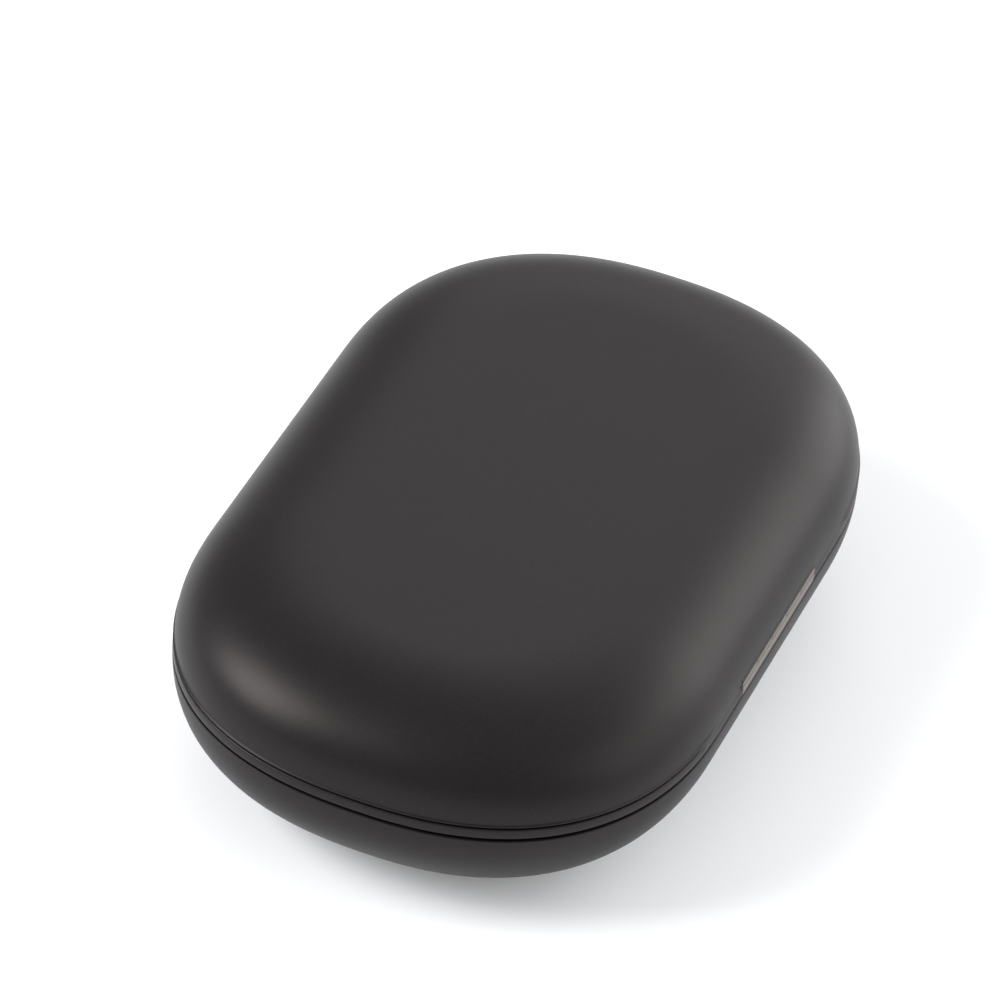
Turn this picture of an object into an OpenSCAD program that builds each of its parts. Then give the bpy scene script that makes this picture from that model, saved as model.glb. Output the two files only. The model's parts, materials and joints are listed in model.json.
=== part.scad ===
// Charging case for a pair of wireless earbuds: a flat, round-ended clamshell.
// A base shell, a mid frame and a hinged lid meet at two thin seams. Inside are the cradle for the
// earbuds, their charging pins and magnets, the battery, the boards, the socket and the button.
// X runs along the case, Y across it with the hinge on the -Y side, and Z is up.
// The origin is the middle of the flat underside.

/* [Case] */
// Length of the closed case
case_len = 80; // [66:1:96]
// Width of the closed case, from the hinge side to the opening side
case_wid = 52.4; // [43:0.1:63]
// Height from the underside to the lower seam
base_h = 12.6; // [12.2:0.1:16]
// Height of the band between the two seams
band_h = 1.3; // [1.2:0.1:2]
// Height of the lid above the upper seam
lid_h = 8.6; // [7.8:0.1:12]
// Length of each rounded end of the outline
corner_len = 25.6; // [21:0.1:31]
// Squareness of the rounded ends, where 2 is an ellipse
corner_exp = 2.33; // [2:0.01:3]
// How far in from the edge the lid's shoulder runs
lid_round = 14; // [11:0.1:17]
// Squareness of the lid's shoulder
lid_exp = 2.35; // [2:0.01:3]
// How far in from the edge the base's underside curve runs
base_round = 18; // [15:0.1:20]
// Squareness of the base's underside curve
base_exp = 2.22; // [2:0.01:3]
// Wall of the lid and base shells
wall = 1.3; // [1:0.1:1.6]
// Open gap of each seam
seam_gap = 0.2; // [0.15:0.01:0.3]
// Radius of the shells' rounded edges at the seams
edge_r = 0.18; // [0.1:0.01:0.25]

/* [Frame and cradle] */
// Width of the mid frame's rim
frame_w = 2.4; // [2.1:0.1:3]
// How far the deck lies below the frame's top
deck_drop = 0.5; // [0.3:0.1:0.8]
// Thickness of the cradle's deck
deck_t = 1.1; // [0.9:0.1:1.3]
// Wall of the cradle's cups
cup_wall = 0.9; // [0.7:0.1:1.1]
// Width of the bay between the two earbud pockets
bay_wid = 21.2; // [21:0.1:24]
// Room between a pocket's outer wall and the side of the case
pocket_room = 10.2; // [9.8:0.1:12]
// Height of an earbud pocket's upper floor above the underside
bowl_z = 8.4; // [8:0.1:9]
// Height of the round well's floor, where the charging pins stand
well_z = 5; // [4.8:0.1:5.6]
// Radius of the round well
well_r = 8.2; // [7:0.1:8.4]
// Radius of the well for the ear tip
tip_r = 3.6; // [3:0.1:3.8]

/* [Hinge] */
// Length of the hinge along the case
hinge_len = 18.3; // [15:0.1:22]
// Radius of the hinge knuckles
knuckle_r = 0.36; // [0.34:0.01:0.44]
// Radius of the hinge pin
pin_r = 0.2; // [0.17:0.01:0.24]
// Running clearance around the pin in the lid's knuckles
pin_fit = 0.03; // [0.01:0.01:0.05]
// Depth of each hinge leaf
leaf_depth = 5.6; // [5:0.1:6.4]
// Number of knuckles
knuckles = 5; // [3:2:7]

/* [Electrics] */
// Width of the case that the battery leaves to the socket, the main board and the walls
battery_room = 32.4; // [32.4:0.1:38]
// Width of the battery
battery_wid = 19.4; // [15:0.1:20]
// Thickness of the battery
battery_t = 6.3; // [4:0.1:6.5]
// Height of the charging socket's centre above the underside
socket_z = 7.6; // [7.2:0.1:8]
// Diameter of the pairing button
button_d = 6; // [5:0.1:7]
// Travel of the pairing button
button_travel = 0.3; // [0.2:0.05:0.4]
// Travel of the charging pins
pogo_travel = 0.7; // [0.4:0.05:0.9]

/* [Hidden] */
$fn = 48;
half_l = case_len / 2;
half_w = case_wid / 2;
gap = seam_gap / 2;
seam_z = base_h + band_h;
band_lo = base_h + gap;
band_hi = seam_z - gap;
lid_lo = seam_z + gap;
fit = 0.1;

// Steps of the shell surfaces
corner_steps = 16;
dome_steps = 10;

// Mid frame and deck
deck_z = band_hi - deck_drop;
deck_lo = deck_z - deck_t;
ledge_w = 1;
ledge_t = 1;
skirt_lo = base_h - 2;

// Hinge: the knuckles lie flush in the seam on the -Y side
pivot_y = -half_w + knuckle_r;
leaf_t = knuckle_r / 2 + 0.02;
leaf_y = pivot_y + knuckle_r + 0.1;
leaf_end = pivot_y + leaf_depth;
knuckle_gap = 0.08;
knuckle_w = (hinge_len - (knuckles - 1) * knuckle_gap) / knuckles;
knuckle_clear = 0.06;
hinge_half = hinge_len / 2 + knuckle_clear;
seam_bevel = knuckle_r + 0.04;
seat_half = hinge_half + 1.2;
seat_end = leaf_end + 0.6;
leaf_screw_y = pivot_y + 3.4;
base_leaf_screw_x = 6.5;
lid_leaf_screw_x = 3;
leaf_screw_r = 0.5;
leaf_head_r = 1;
leaf_head_h = 0.22;

// Earbud pockets
bowl_lo = bowl_z - cup_wall;
well_lo = well_z - cup_wall;
tip_z = well_z + 1;
pocket_clear = 1;
cup_in = bay_wid / 2;
cup_out = half_l - base_inner_inset(bowl_lo) - pocket_clear;
cup_a = (cup_out - cup_in) / 2;
cup_b = half_w - pocket_room;
cup_exp = 2.5;
pocket_x = (cup_in + cup_out) / 2;
well_y = -2.5;
tip_x = pocket_x - cup_a + cup_wall + tip_r + 2.6;
tip_y = cup_b - cup_wall - tip_r - 2.6;

// Charging pins
pogo_pitch = 4;
plunger_r = 0.5;
plunger_fit = 0.05;
barrel_r = 0.8;
barrel_hi = well_z + 0.3;
barrel_lo = well_lo - 0.8;
barrel_floor = barrel_lo + 0.2;
pogo_rows = [well_y - pogo_pitch / 2, well_y + pogo_pitch / 2];
plunger_hi = barrel_hi + pogo_travel + 0.1;
contact_board_t = 0.6;

// Frame screws and bosses
boss_x = 14;
boss_y = half_w - 6.7;
boss_r = 1.8;
tab_r = 2.4;
tab_lo = skirt_lo;
tab_hi = skirt_lo + 0.8;
screw_r = 0.6;
screw_head_r = 1.2;
screw_head_h = 0.6;
screw_len = 4.4;

// Lid
liner_t = 1;
liner_lo = lid_lo + 0.05;
liner_hi = liner_lo + liner_t;
liner_inset = lid_inner_inset(liner_hi) + fit;
recess_hi = seam_z + lid_h - wall - 1.6;
lid_cup_hi = recess_hi + cup_wall;
recess_margin = 1.4;
recess_a = min(cup_a, half_l - lid_inner_inset(lid_cup_hi) - pocket_x) - recess_margin;
corner_share = pow(cos(45), 2 / cup_exp);
recess_corner_x = pocket_x + corner_share * (recess_a + cup_wall);
recess_corner_y = outline_y(recess_corner_x, lid_inner_inset(lid_cup_hi)) - 0.6;
recess_b = min(cup_b - 3, recess_corner_y / corner_share - cup_wall);
lid_post_y = half_w - lid_inner_inset(seam_z + lid_h / 2) - 3.2;

// Closure magnets
magnet_l = 7;
magnet_w = 2.6;
magnet_t = 1.6;
magnet_x = 4.6;
magnet_y = half_w - frame_w - ledge_w - magnet_w / 2 - 0.8;

// Battery and boards
battery_len = case_wid - battery_room;
battery_z = wall + 1.1;
battery_front = half_w - base_inner_inset(battery_z) - 0.8;
battery_end = battery_front - battery_len;
pad_front = half_w - base_round - 0.2;
board_t = 0.8;
socket_l = 7.9;
socket_w = 8.94;
socket_h = 3.2;
socket_wall = 0.3;
socket_y = -half_w + base_outer_inset(socket_z - socket_h / 2) + 0.1;
main_board_hi = socket_z - socket_h / 2;
main_board_lo = main_board_hi - board_t;
main_board_y = -half_w + base_inner_inset(main_board_lo) + 0.5;
main_board_end = battery_end - 0.8;
main_board_half = 9;
top_board_hi = deck_lo - 1.8;
top_board_lo = top_board_hi - board_t;
top_board_half = 5.8;
top_board_end = magnet_y + magnet_w / 2 - 0.4;
top_board_y = battery_end + 0.45;
button_y = top_board_y + 6;
button_r = button_d / 2;
button_fit = 0.15;
flange_r = button_r + 1;
flange_t = 0.9;
flange_hi = deck_lo - 0.02;
led_z = top_board_lo - 0.4;
led_r = 1;
pipe_out = half_w - base_outer_inset(led_z - led_r) - 0.05;
sense_x = 4;
sense_y = (button_y + magnet_y) / 2 + 0.65;

// How far a dome's surface has come in at height z above its edge
function dome_inset(z, h, run, ex) = run * (1 - pow(1 - pow(min(z / h, 1), ex), 1 / ex));

// How far in the base's surfaces are at height z above the underside
function base_outer_inset(z) = dome_inset(base_h - z, base_h, base_round, base_exp);
function base_inner_inset(z) = wall + dome_inset(base_h - z, base_h - wall, base_round - wall, base_exp);

// Height of the base's outer surface where it is d in from the edge
function base_outer_z(d) =
    base_h * (1 - pow(1 - pow(1 - d / base_round, base_exp), 1 / base_exp));

// How far in the lid's inner surface is at height z
function lid_inner_inset(z) = wall + dome_inset(z - seam_z, lid_h - wall, lid_round - wall, lid_exp);

// One point of a quarter of a squared ellipse
function quarter(rx, ry, ex, a) = [rx * pow(cos(a), 2 / ex), ry * pow(sin(a), 2 / ex)];

// Half width of the outline d in from the edge, at x along the case
function outline_y(x, d) =
    let (share = max(0, x - half_l + corner_len) / (corner_len - d))
    (half_w - d) * pow(1 - pow(share, corner_exp), 1 / corner_exp);

// Outline of the case, d in from its edge: two squared half ellipses joined by straight sides
function outline(d) = let (rx = corner_len - d, ry = half_w - d, mid = half_l - corner_len) [
    for (side = [0:3], i = [0:corner_steps - side % 2])
        let (
            step = side % 2 == 0 ? i : corner_steps - i,
            q = quarter(rx, ry, corner_exp, 90 * step / corner_steps),
            sx = side == 1 || side == 2 ? -1 : 1,
            sy = side > 1 ? -1 : 1
        )
        if (side % 2 == 0 || step > 0) [sx * (mid + q.x), sy * q.y],
];

// Squared ellipse, for a pocket's outline
function pocket_outline(a, b) = [
    for (i = [0:4 * corner_steps - 1])
        let (
            t = 90 * i / corner_steps,
            q = quarter(a, b, cup_exp, acos(min(1, abs(cos(t)))))
        )
        [sign(cos(t)) * q.x, sign(sin(t)) * q.y],
];

// The outline raised to height z, cut back on the hinge side by the bevel of the seam
function ring(d, z, rise = 1000) = [
    for (p = outline(d)) [p.x, max(p.y, seam_bevel - rise - half_w), z],
];

// Heights above the edge and insets of a dome's outer rings, from its rounded edge to its top
function outer_rings(h, run, ex) = concat(
    [for (a = [0:45:90]) [gap + edge_r * (1 - cos(a)), edge_r * (1 - sin(a))]],
    [[seam_bevel, dome_inset(seam_bevel, h, run, ex)]],
    [for (i = [1:dome_steps]) dome_ring(90 * i / dome_steps, h, run, ex)]
);

// The same for its inner rings, from its top to its edge
function inner_rings(h, run, ex) = concat(
    [for (i = [dome_steps:-1:1]) dome_ring(90 * i / dome_steps, h - wall, run - wall, ex) + [0, wall]],
    [[gap, wall]]
);
function dome_ring(q, h, run, ex) = [h * pow(sin(q), 2 / ex), run * (1 - pow(cos(q), 2 / ex))];

// Solid whose skin runs through rings of equal count, closed by its first and last ring
module ringed_solid(rings, flip) {
    n = len(rings[0]);
    last = (len(rings) - 1) * n;
    sides = [
        for (j = [0:len(rings) - 2], i = [0:n - 1])
            let (a = j * n + i, b = j * n + (i + 1) % n)
            each [[a, a + n, b + n], [a, b + n, b]],
    ];
    faces = concat(sides, [[for (i = [0:n - 1]) i]], [[for (i = [n - 1:-1:0]) last + i]]);
    turned = [for (f = faces) [for (i = [len(f) - 1:-1:0]) f[i]]];
    polyhedron([for (r = rings) each r], flip ? turned : faces, convexity = 6);
}

// Case outline as a slab between two heights
module slab(d, lo, hi) {
    translate([0, 0, lo])
        linear_extrude(hi - lo)
            polygon(outline(d));
}

// Rim between two insets and two heights
module rim(d, inner_d, lo, hi) {
    translate([0, 0, lo])
        linear_extrude(hi - lo)
            difference() {
                polygon(outline(d));
                polygon(outline(inner_d));
            }
}

// Box between two corners
module box(lo, hi) {
    translate(lo)
        cube(hi - lo);
}

// Upright cylinder between two heights
module post(x, y, r, lo, hi) {
    translate([x, y, lo])
        cylinder(r = r, h = hi - lo);
}

// Both ends of the case: the children and their mirror image
module both_ends() {
    children();
    mirror([1, 0, 0])
        children();
}

// All four corners
module four_corners() {
    both_ends()
        children();
    mirror([0, 1, 0])
        both_ends()
            children();
}

// Slot with round ends through the hinge side
module socket_slot(w, h, y0, y1) {
    r = h / 2;
    box([-w / 2 + r, y0, socket_z - r], [w / 2 - r, y1, socket_z + r]);
    both_ends()
        translate([w / 2 - r, y1, socket_z])
            rotate([90, 0, 0])
                cylinder(r = r, h = y1 - y0);
}

module base_shell() {
    rings = concat(
        [for (r = inner_rings(base_h, base_round, base_exp)) ring(r[1], base_h - r[0])],
        [for (r = outer_rings(base_h, base_round, base_exp)) ring(r[1], base_h - r[0])]
    );
    boss_lo = base_outer_z(half_w - boss_y - boss_r) + 0.2;
    rest_x = 7.4;
    rest_r = 1.1;
    rest_y = (main_board_y + main_board_end) / 2;
    color([0.2, 0.195, 0.19])
        difference() {
            union() {
                ringed_solid(rings, true);
                four_corners()
                    post(boss_x, boss_y, boss_r, boss_lo, tab_lo);
                both_ends()
                    post(rest_x, rest_y, rest_r, base_outer_z(half_w + rest_y) + 0.6, main_board_lo);
            }
            four_corners()
                post(boss_x, boss_y, screw_r, tab_hi - screw_len - 0.2, tab_lo + 1);
            socket_slot(socket_w + 0.4, socket_h + 0.3, -half_w - 1, socket_y + 3);
            translate([0, half_w + 1, led_z])
                rotate([90, 0, 0])
                    cylinder(r = led_r + 0.05, h = 5);
        }
}

module mid_frame() {
    skirt_d = base_inner_inset(skirt_lo) + fit;
    tab_end = half_w - frame_w + 0.2;
    color([0.17, 0.165, 0.16])
        difference() {
            union() {
                rim(0, frame_w, band_lo, band_hi);
                rim(skirt_d, frame_w, skirt_lo, band_lo + 0.3);
                rim(frame_w - 0.2, frame_w + ledge_w, deck_lo - ledge_t, deck_lo);
                four_corners() {
                    post(boss_x, boss_y, tab_r, tab_lo, tab_hi);
                    box([boss_x - tab_r, boss_y, tab_lo], [boss_x + tab_r, tab_end, tab_hi]);
                }
                box([-seat_half, -half_w + frame_w - 0.4, deck_lo - ledge_t], [seat_half, seat_end, band_hi]);
            }
            four_corners()
                post(boss_x, boss_y, screw_r + 0.1, tab_lo - 1, tab_hi + 1);
            box([-hinge_half, -half_w - 1, seam_z - knuckle_r - knuckle_clear], [hinge_half, leaf_y, seam_z]);
            box([-hinge_half, leaf_y - 0.1, seam_z - knuckle_r], [hinge_half, leaf_end + fit, seam_z]);
            translate([-half_l, -half_w, seam_z - seam_bevel])
                rotate([45, 0, 0])
                    translate([0, -2, 0])
                        cube([case_len, 4, 2]);
            both_ends()
                post(base_leaf_screw_x, leaf_screw_y, leaf_screw_r, seam_z - 3, seam_z);
        }
}

module cradle_tray() {
    board_post_r = 1.1;
    color([0.14, 0.14, 0.14])
        difference() {
            union() {
                slab(frame_w + fit, deck_lo, deck_z);
                both_ends() {
                    pocket_solid(cup_a, cup_b, bowl_lo, deck_z);
                    post(pocket_x, well_y, well_r + cup_wall, well_lo, bowl_z);
                    post(tip_x, tip_y, tip_r + cup_wall, tip_z - cup_wall, bowl_z);
                }
                both_ends()
                    post(top_board_half - 1.3, top_board_y + 1.3, board_post_r, top_board_hi, deck_lo);
            }
            both_ends() {
                pocket_solid(cup_a - cup_wall, cup_b - cup_wall, bowl_z, deck_z + 1);
                post(pocket_x, well_y, well_r, well_z, deck_z + 1);
                post(tip_x, tip_y, tip_r, tip_z, deck_z + 1);
                pin_holes();
            }
            post(0, button_y, button_r + button_fit, deck_lo - 1, deck_z + 1);
            box([-seat_half - fit, -half_w, deck_lo - 1], [seat_half + fit, seat_end + fit, deck_z + 1]);
        }
}

// A pocket's outline at the +X end as a solid between two heights
module pocket_solid(a, b, lo, hi) {
    translate([pocket_x, 0, lo])
        linear_extrude(hi - lo)
            polygon(pocket_outline(a, b));
}

// Holes for the two charging pins of the +X pocket
module pin_holes() {
    for (y = pogo_rows)
        post(pocket_x, y, barrel_r, well_lo - 1, well_z + 1);
}

module base_magnets() {
    color([0.7, 0.7, 0.72])
        closure_magnets(deck_lo - magnet_t);
}

// Pair of bar magnets by the opening side
module closure_magnets(lo) {
    size = [magnet_l, magnet_w, magnet_t];
    both_ends()
        translate([magnet_x - magnet_l / 2, magnet_y - magnet_w / 2, lo])
            cube(size);
}

module bud_magnets() {
    magnet_r = 2.3;
    color([0.7, 0.7, 0.72])
        both_ends()
            post(pocket_x, well_y + well_r - magnet_r, magnet_r, well_lo - 1.2, well_lo);
}

// Knuckles of one leaf, every second one from the first given
module knuckle_row(first, leaf_z, bore_r) {
    for (i = [first:2:knuckles - 1]) {
        x = -hinge_len / 2 + i * (knuckle_w + knuckle_gap);
        difference() {
            union() {
                translate([x, pivot_y, seam_z])
                    rotate([0, 90, 0])
                        cylinder(r = knuckle_r, h = knuckle_w);
                box([x, pivot_y, leaf_z], [x + knuckle_w, leaf_y + 0.1, leaf_z + leaf_t]);
            }
            translate([x - 1, pivot_y, seam_z])
                rotate([0, 90, 0])
                    cylinder(r = bore_r, h = knuckle_w + 2);
        }
    }
}

// Hinge leaf: a plate with its knuckles and two screw holes
module hinge_leaf(first, leaf_z, bore_r, screw_x) {
    union() {
        knuckle_row(first, leaf_z, bore_r);
        difference() {
            box([-hinge_len / 2, leaf_y, leaf_z], [hinge_len / 2, leaf_end, leaf_z + leaf_t]);
            both_ends()
                post(screw_x, leaf_screw_y, leaf_screw_r, leaf_z - 1, leaf_z + 1);
        }
    }
}

module hinge_base_leaf() {
    color([0.62, 0.6, 0.58])
        hinge_leaf(0, seam_z - knuckle_r, pin_r, base_leaf_screw_x);
}

module hinge_lid_leaf() {
    color([0.62, 0.6, 0.58])
        hinge_leaf(1, seam_z + knuckle_r - leaf_t, pin_r + pin_fit, lid_leaf_screw_x);
}

module hinge_pin() {
    color([0.75, 0.74, 0.72])
        translate([-hinge_len / 2, pivot_y, seam_z])
            rotate([0, 90, 0])
                cylinder(r = pin_r, h = hinge_len);
}

module base_leaf_screws() {
    leaf_top = seam_z - knuckle_r + leaf_t;
    color([0.6, 0.6, 0.6])
        both_ends() {
            post(base_leaf_screw_x, leaf_screw_y, leaf_head_r, leaf_top, leaf_top + leaf_head_h);
            post(base_leaf_screw_x, leaf_screw_y, leaf_screw_r, leaf_top - 2, leaf_top);
        }
}

module lid_leaf_screws() {
    leaf_bottom = seam_z + knuckle_r - leaf_t;
    color([0.6, 0.6, 0.6])
        both_ends() {
            post(lid_leaf_screw_x, leaf_screw_y, leaf_head_r, leaf_bottom - leaf_head_h, leaf_bottom);
            post(lid_leaf_screw_x, leaf_screw_y, leaf_screw_r, leaf_bottom, leaf_bottom + 2.4);
        }
}

module frame_screws() {
    color([0.5, 0.5, 0.5])
        four_corners() {
            post(boss_x, boss_y, screw_head_r, tab_hi, tab_hi + screw_head_h);
            post(boss_x, boss_y, screw_r, tab_hi - screw_len, tab_hi);
        }
}

module battery() {
    half = battery_wid / 2;
    color([0.25, 0.45, 0.7])
        box([-half, battery_end, battery_z], [half, battery_front, battery_z + battery_t]);
}

module battery_pad() {
    half = battery_wid / 2 - 1;
    color([0.3, 0.3, 0.3])
        box([-half, battery_end + 1, wall], [half, pad_front, battery_z]);
}

module battery_connector() {
    color("white")
        box([-7.5, main_board_end - 3.2, main_board_hi], [-3.5, main_board_end - 0.4, main_board_hi + 1.6]);
}

module main_board() {
    color([0.05, 0.35, 0.2])
        box([-main_board_half, main_board_y, main_board_lo],
            [main_board_half, main_board_end, main_board_hi]);
}

module board_chips() {
    chip_y = main_board_end - 2.4;
    color([0.1, 0.1, 0.1]) {
        translate([0, chip_y - 1.6, main_board_hi])
            cube([4, 4, 0.9]);
        translate([5.2, chip_y - 1.2, main_board_hi])
            cube([3, 3, 1.4]);
        translate([6, chip_y - 5.4, main_board_hi])
            cube([2, 3, 0.8]);
    }
}

module socket_shell() {
    socket_depth = 6.6;
    color([0.75, 0.75, 0.76])
        difference() {
            socket_slot(socket_w, socket_h, socket_y, socket_y + socket_l);
            socket_slot(socket_w - 2 * socket_wall, socket_h - 2 * socket_wall, socket_y - 1,
                socket_y + socket_depth);
        }
}

module socket_tongue() {
    tongue_half = 3.35;
    tongue_t = 0.7;
    tongue_len = 5.6;
    color([0.08, 0.08, 0.08])
        translate([-tongue_half, socket_y + 1, socket_z - tongue_t / 2])
            cube([2 * tongue_half, tongue_len, tongue_t]);
}

module top_board() {
    color([0.05, 0.35, 0.2])
        box([-top_board_half, top_board_y, top_board_lo], [top_board_half, top_board_end, top_board_hi]);
}

module tact_switch() {
    half = 2;
    stem_r = 1.2;
    switch_hi = top_board_hi + 0.3;
    stem_hi = flange_hi - flange_t - button_travel - 0.02;
    color([0.7, 0.7, 0.7]) {
        box([-half, button_y - half, top_board_hi], [half, button_y + half, switch_hi]);
        post(0, button_y, stem_r, switch_hi, stem_hi);
    }
}

module hall_sensor() {
    color([0.1, 0.1, 0.1])
        translate([sense_x - 1.4, sense_y - 0.8, top_board_hi])
            cube([2.8, 1.6, 0.9]);
}

module status_led() {
    color([0.95, 0.95, 0.85])
        box([-0.8, top_board_end - 1, top_board_lo - 0.8], [0.8, top_board_end, top_board_lo]);
}

module light_pipe() {
    color([0.9, 0.9, 0.92])
        translate([0, pipe_out, led_z])
            rotate([90, 0, 0])
                cylinder(r = led_r, h = pipe_out - top_board_end - 0.1);
}

// Flat flexible cable from the main board up to the top board
module board_link() {
    link_t = 0.15;
    link_half = 2.5;
    link_y = battery_end - link_t;
    link_z = main_board_hi + 0.9;
    color([0.75, 0.45, 0.15])
        union() {
            box([-link_half, main_board_end - 2.4, link_z], [link_half, link_y, link_z + link_t]);
            box([-link_half, link_y - link_t, link_z], [link_half, link_y, top_board_hi + link_t]);
            box([-link_half, link_y - link_t, top_board_hi],
                [link_half, top_board_y + 2, top_board_hi + link_t]);
        }
}

module contact_boards() {
    half_x = 3;
    half_y = 3.6;
    color([0.05, 0.35, 0.2])
        both_ends()
            box([pocket_x - half_x, well_y - half_y, barrel_lo - contact_board_t],
                [pocket_x + half_x, well_y + half_y, barrel_lo]);
}

module pogo_barrels() {
    color([0.85, 0.7, 0.35])
        both_ends()
            for (y = pogo_rows)
                difference() {
                    post(pocket_x, y, barrel_r, barrel_lo, barrel_hi);
                    post(pocket_x, y, plunger_r + plunger_fit, barrel_floor, barrel_hi + 1);
                }
}

// The two sprung charging pins of the +X pocket
module pogo_pair() {
    color([0.95, 0.78, 0.35])
        for (y = pogo_rows)
            post(pocket_x, y, plunger_r, barrel_floor + pogo_travel + plunger_fit, plunger_hi);
}

module right_pogo_pins() {
    pogo_pair();
}

module left_pogo_pins() {
    mirror([1, 0, 0])
        pogo_pair();
}

module pairing_button() {
    color([0.2, 0.2, 0.2])
        union() {
            post(0, button_y, button_r, flange_hi - 0.2, deck_z + 0.2);
            post(0, button_y, flange_r, flange_hi - flange_t, flange_hi);
        }
}

module lid_shell() {
    rings = concat(
        [for (r = inner_rings(lid_h, lid_round, lid_exp)) ring(r[1], seam_z + r[0])],
        [for (r = outer_rings(lid_h, lid_round, lid_exp)) ring(r[1], seam_z + r[0], r[0])]
    );
    lid_post_r = 1.4;
    post_hi = seam_z + lid_h / 2 + 2;
    color([0.25, 0.245, 0.24])
        difference() {
            union() {
                ringed_solid(rings, false);
                four_corners()
                    post(boss_x, lid_post_y, lid_post_r, liner_hi, post_hi);
            }
            box([-hinge_half, -half_w - 1, seam_z],
                [hinge_half, -half_w + wall + 0.6, seam_z + knuckle_r + knuckle_clear]);
        }
}

module lid_liner() {
    screw_boss_r = 1.3;
    screw_boss_hi = liner_hi + 1.8;
    color([0.14, 0.14, 0.14])
        difference() {
            union() {
                slab(liner_inset, liner_lo, liner_hi);
                both_ends() {
                    pocket_solid(recess_a + cup_wall, recess_b + cup_wall, liner_lo, lid_cup_hi);
                    post(lid_leaf_screw_x, leaf_screw_y, screw_boss_r, liner_lo, screw_boss_hi);
                }
            }
            both_ends() {
                pocket_solid(recess_a, recess_b, liner_lo - 1, recess_hi);
                post(lid_leaf_screw_x, leaf_screw_y, leaf_screw_r, liner_lo - 1, screw_boss_hi - 0.2);
            }
            box([-hinge_half, -half_w, liner_lo - 1], [hinge_half, leaf_end + fit, seam_z + knuckle_r]);
        }
}

module lid_magnets() {
    color([0.7, 0.7, 0.72])
        closure_magnets(liner_hi);
}

module sense_magnet() {
    sense_r = 1.5;
    color([0.7, 0.7, 0.72])
        post(sense_x, sense_y, sense_r, liner_hi, liner_hi + 1);
}

base_shell();
mid_frame();
cradle_tray();
base_magnets();
bud_magnets();
hinge_base_leaf();
hinge_pin();
base_leaf_screws();
frame_screws();
battery();
battery_pad();
battery_connector();
main_board();
board_chips();
socket_shell();
socket_tongue();
top_board();
tact_switch();
hall_sensor();
status_led();
light_pipe();
board_link();
contact_boards();
pogo_barrels();
left_pogo_pins();
right_pogo_pins();
pairing_button();
lid_shell();
lid_liner();
lid_magnets();
sense_magnet();
hinge_lid_leaf();
lid_leaf_screws();
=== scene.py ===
"""Wireless earbuds case: the finished pieces, their materials and the studio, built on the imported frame.

The case is a flat, round-ended clamshell. Every surface below is worked out with numpy, in millimetres,
from a few formulas: a squared-ellipse outline, domes whose section is a squared ellipse too, and profiles
carried round that outline. The meshes are written in metres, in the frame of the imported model.
"""
import json
import logging
import math
from dataclasses import dataclass, field, replace
from enum import Enum

import bmesh
import bpy
import numpy as np
from mathutils import Matrix, Vector
from mathutils.geometry import delaunay_2d_cdt


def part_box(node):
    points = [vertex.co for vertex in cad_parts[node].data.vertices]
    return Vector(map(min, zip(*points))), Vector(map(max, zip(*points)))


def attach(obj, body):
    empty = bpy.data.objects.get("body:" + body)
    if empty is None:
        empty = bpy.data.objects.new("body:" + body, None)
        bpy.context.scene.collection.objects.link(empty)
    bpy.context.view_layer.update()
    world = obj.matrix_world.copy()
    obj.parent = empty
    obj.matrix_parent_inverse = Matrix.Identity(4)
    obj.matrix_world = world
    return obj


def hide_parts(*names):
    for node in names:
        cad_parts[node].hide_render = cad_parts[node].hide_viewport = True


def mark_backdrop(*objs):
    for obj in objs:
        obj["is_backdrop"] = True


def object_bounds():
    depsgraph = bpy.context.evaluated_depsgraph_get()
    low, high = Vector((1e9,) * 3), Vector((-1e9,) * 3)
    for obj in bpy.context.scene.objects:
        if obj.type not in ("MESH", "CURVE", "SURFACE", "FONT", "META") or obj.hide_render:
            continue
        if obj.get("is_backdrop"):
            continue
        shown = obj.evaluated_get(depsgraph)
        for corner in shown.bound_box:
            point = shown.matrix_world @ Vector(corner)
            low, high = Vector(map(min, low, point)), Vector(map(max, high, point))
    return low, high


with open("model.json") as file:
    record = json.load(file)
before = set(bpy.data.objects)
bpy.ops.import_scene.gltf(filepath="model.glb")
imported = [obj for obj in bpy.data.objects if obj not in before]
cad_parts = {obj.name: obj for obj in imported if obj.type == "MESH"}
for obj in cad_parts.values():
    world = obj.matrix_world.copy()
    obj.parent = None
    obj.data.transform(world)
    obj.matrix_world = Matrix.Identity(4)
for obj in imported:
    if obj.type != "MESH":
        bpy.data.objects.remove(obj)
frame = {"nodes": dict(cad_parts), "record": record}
cad_lo, cad_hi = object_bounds()

MM = 0.001
SHARP_ANGLE = math.radians(32)
# Width of the flat kept beside a rounded edge, so that the flat shades as one
FLAT_MARGIN = 0.06
# Radius in place of zero where a turned profile meets its axis
NEAR_AXIS = 1e-4
LOG = logging.getLogger("earbuds_case")


# ---------------------------------------------------------------------------------------------
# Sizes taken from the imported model
# ---------------------------------------------------------------------------------------------


def node_box(node: str) -> tuple[np.ndarray, np.ndarray]:
    """Lowest and highest corner of a CAD node, in millimetres.

    Args:
        node: Name of the CAD node.

    Returns:
        The two corners.
    """
    lo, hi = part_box(node)
    return np.array(lo) / MM, np.array(hi) / MM


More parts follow.
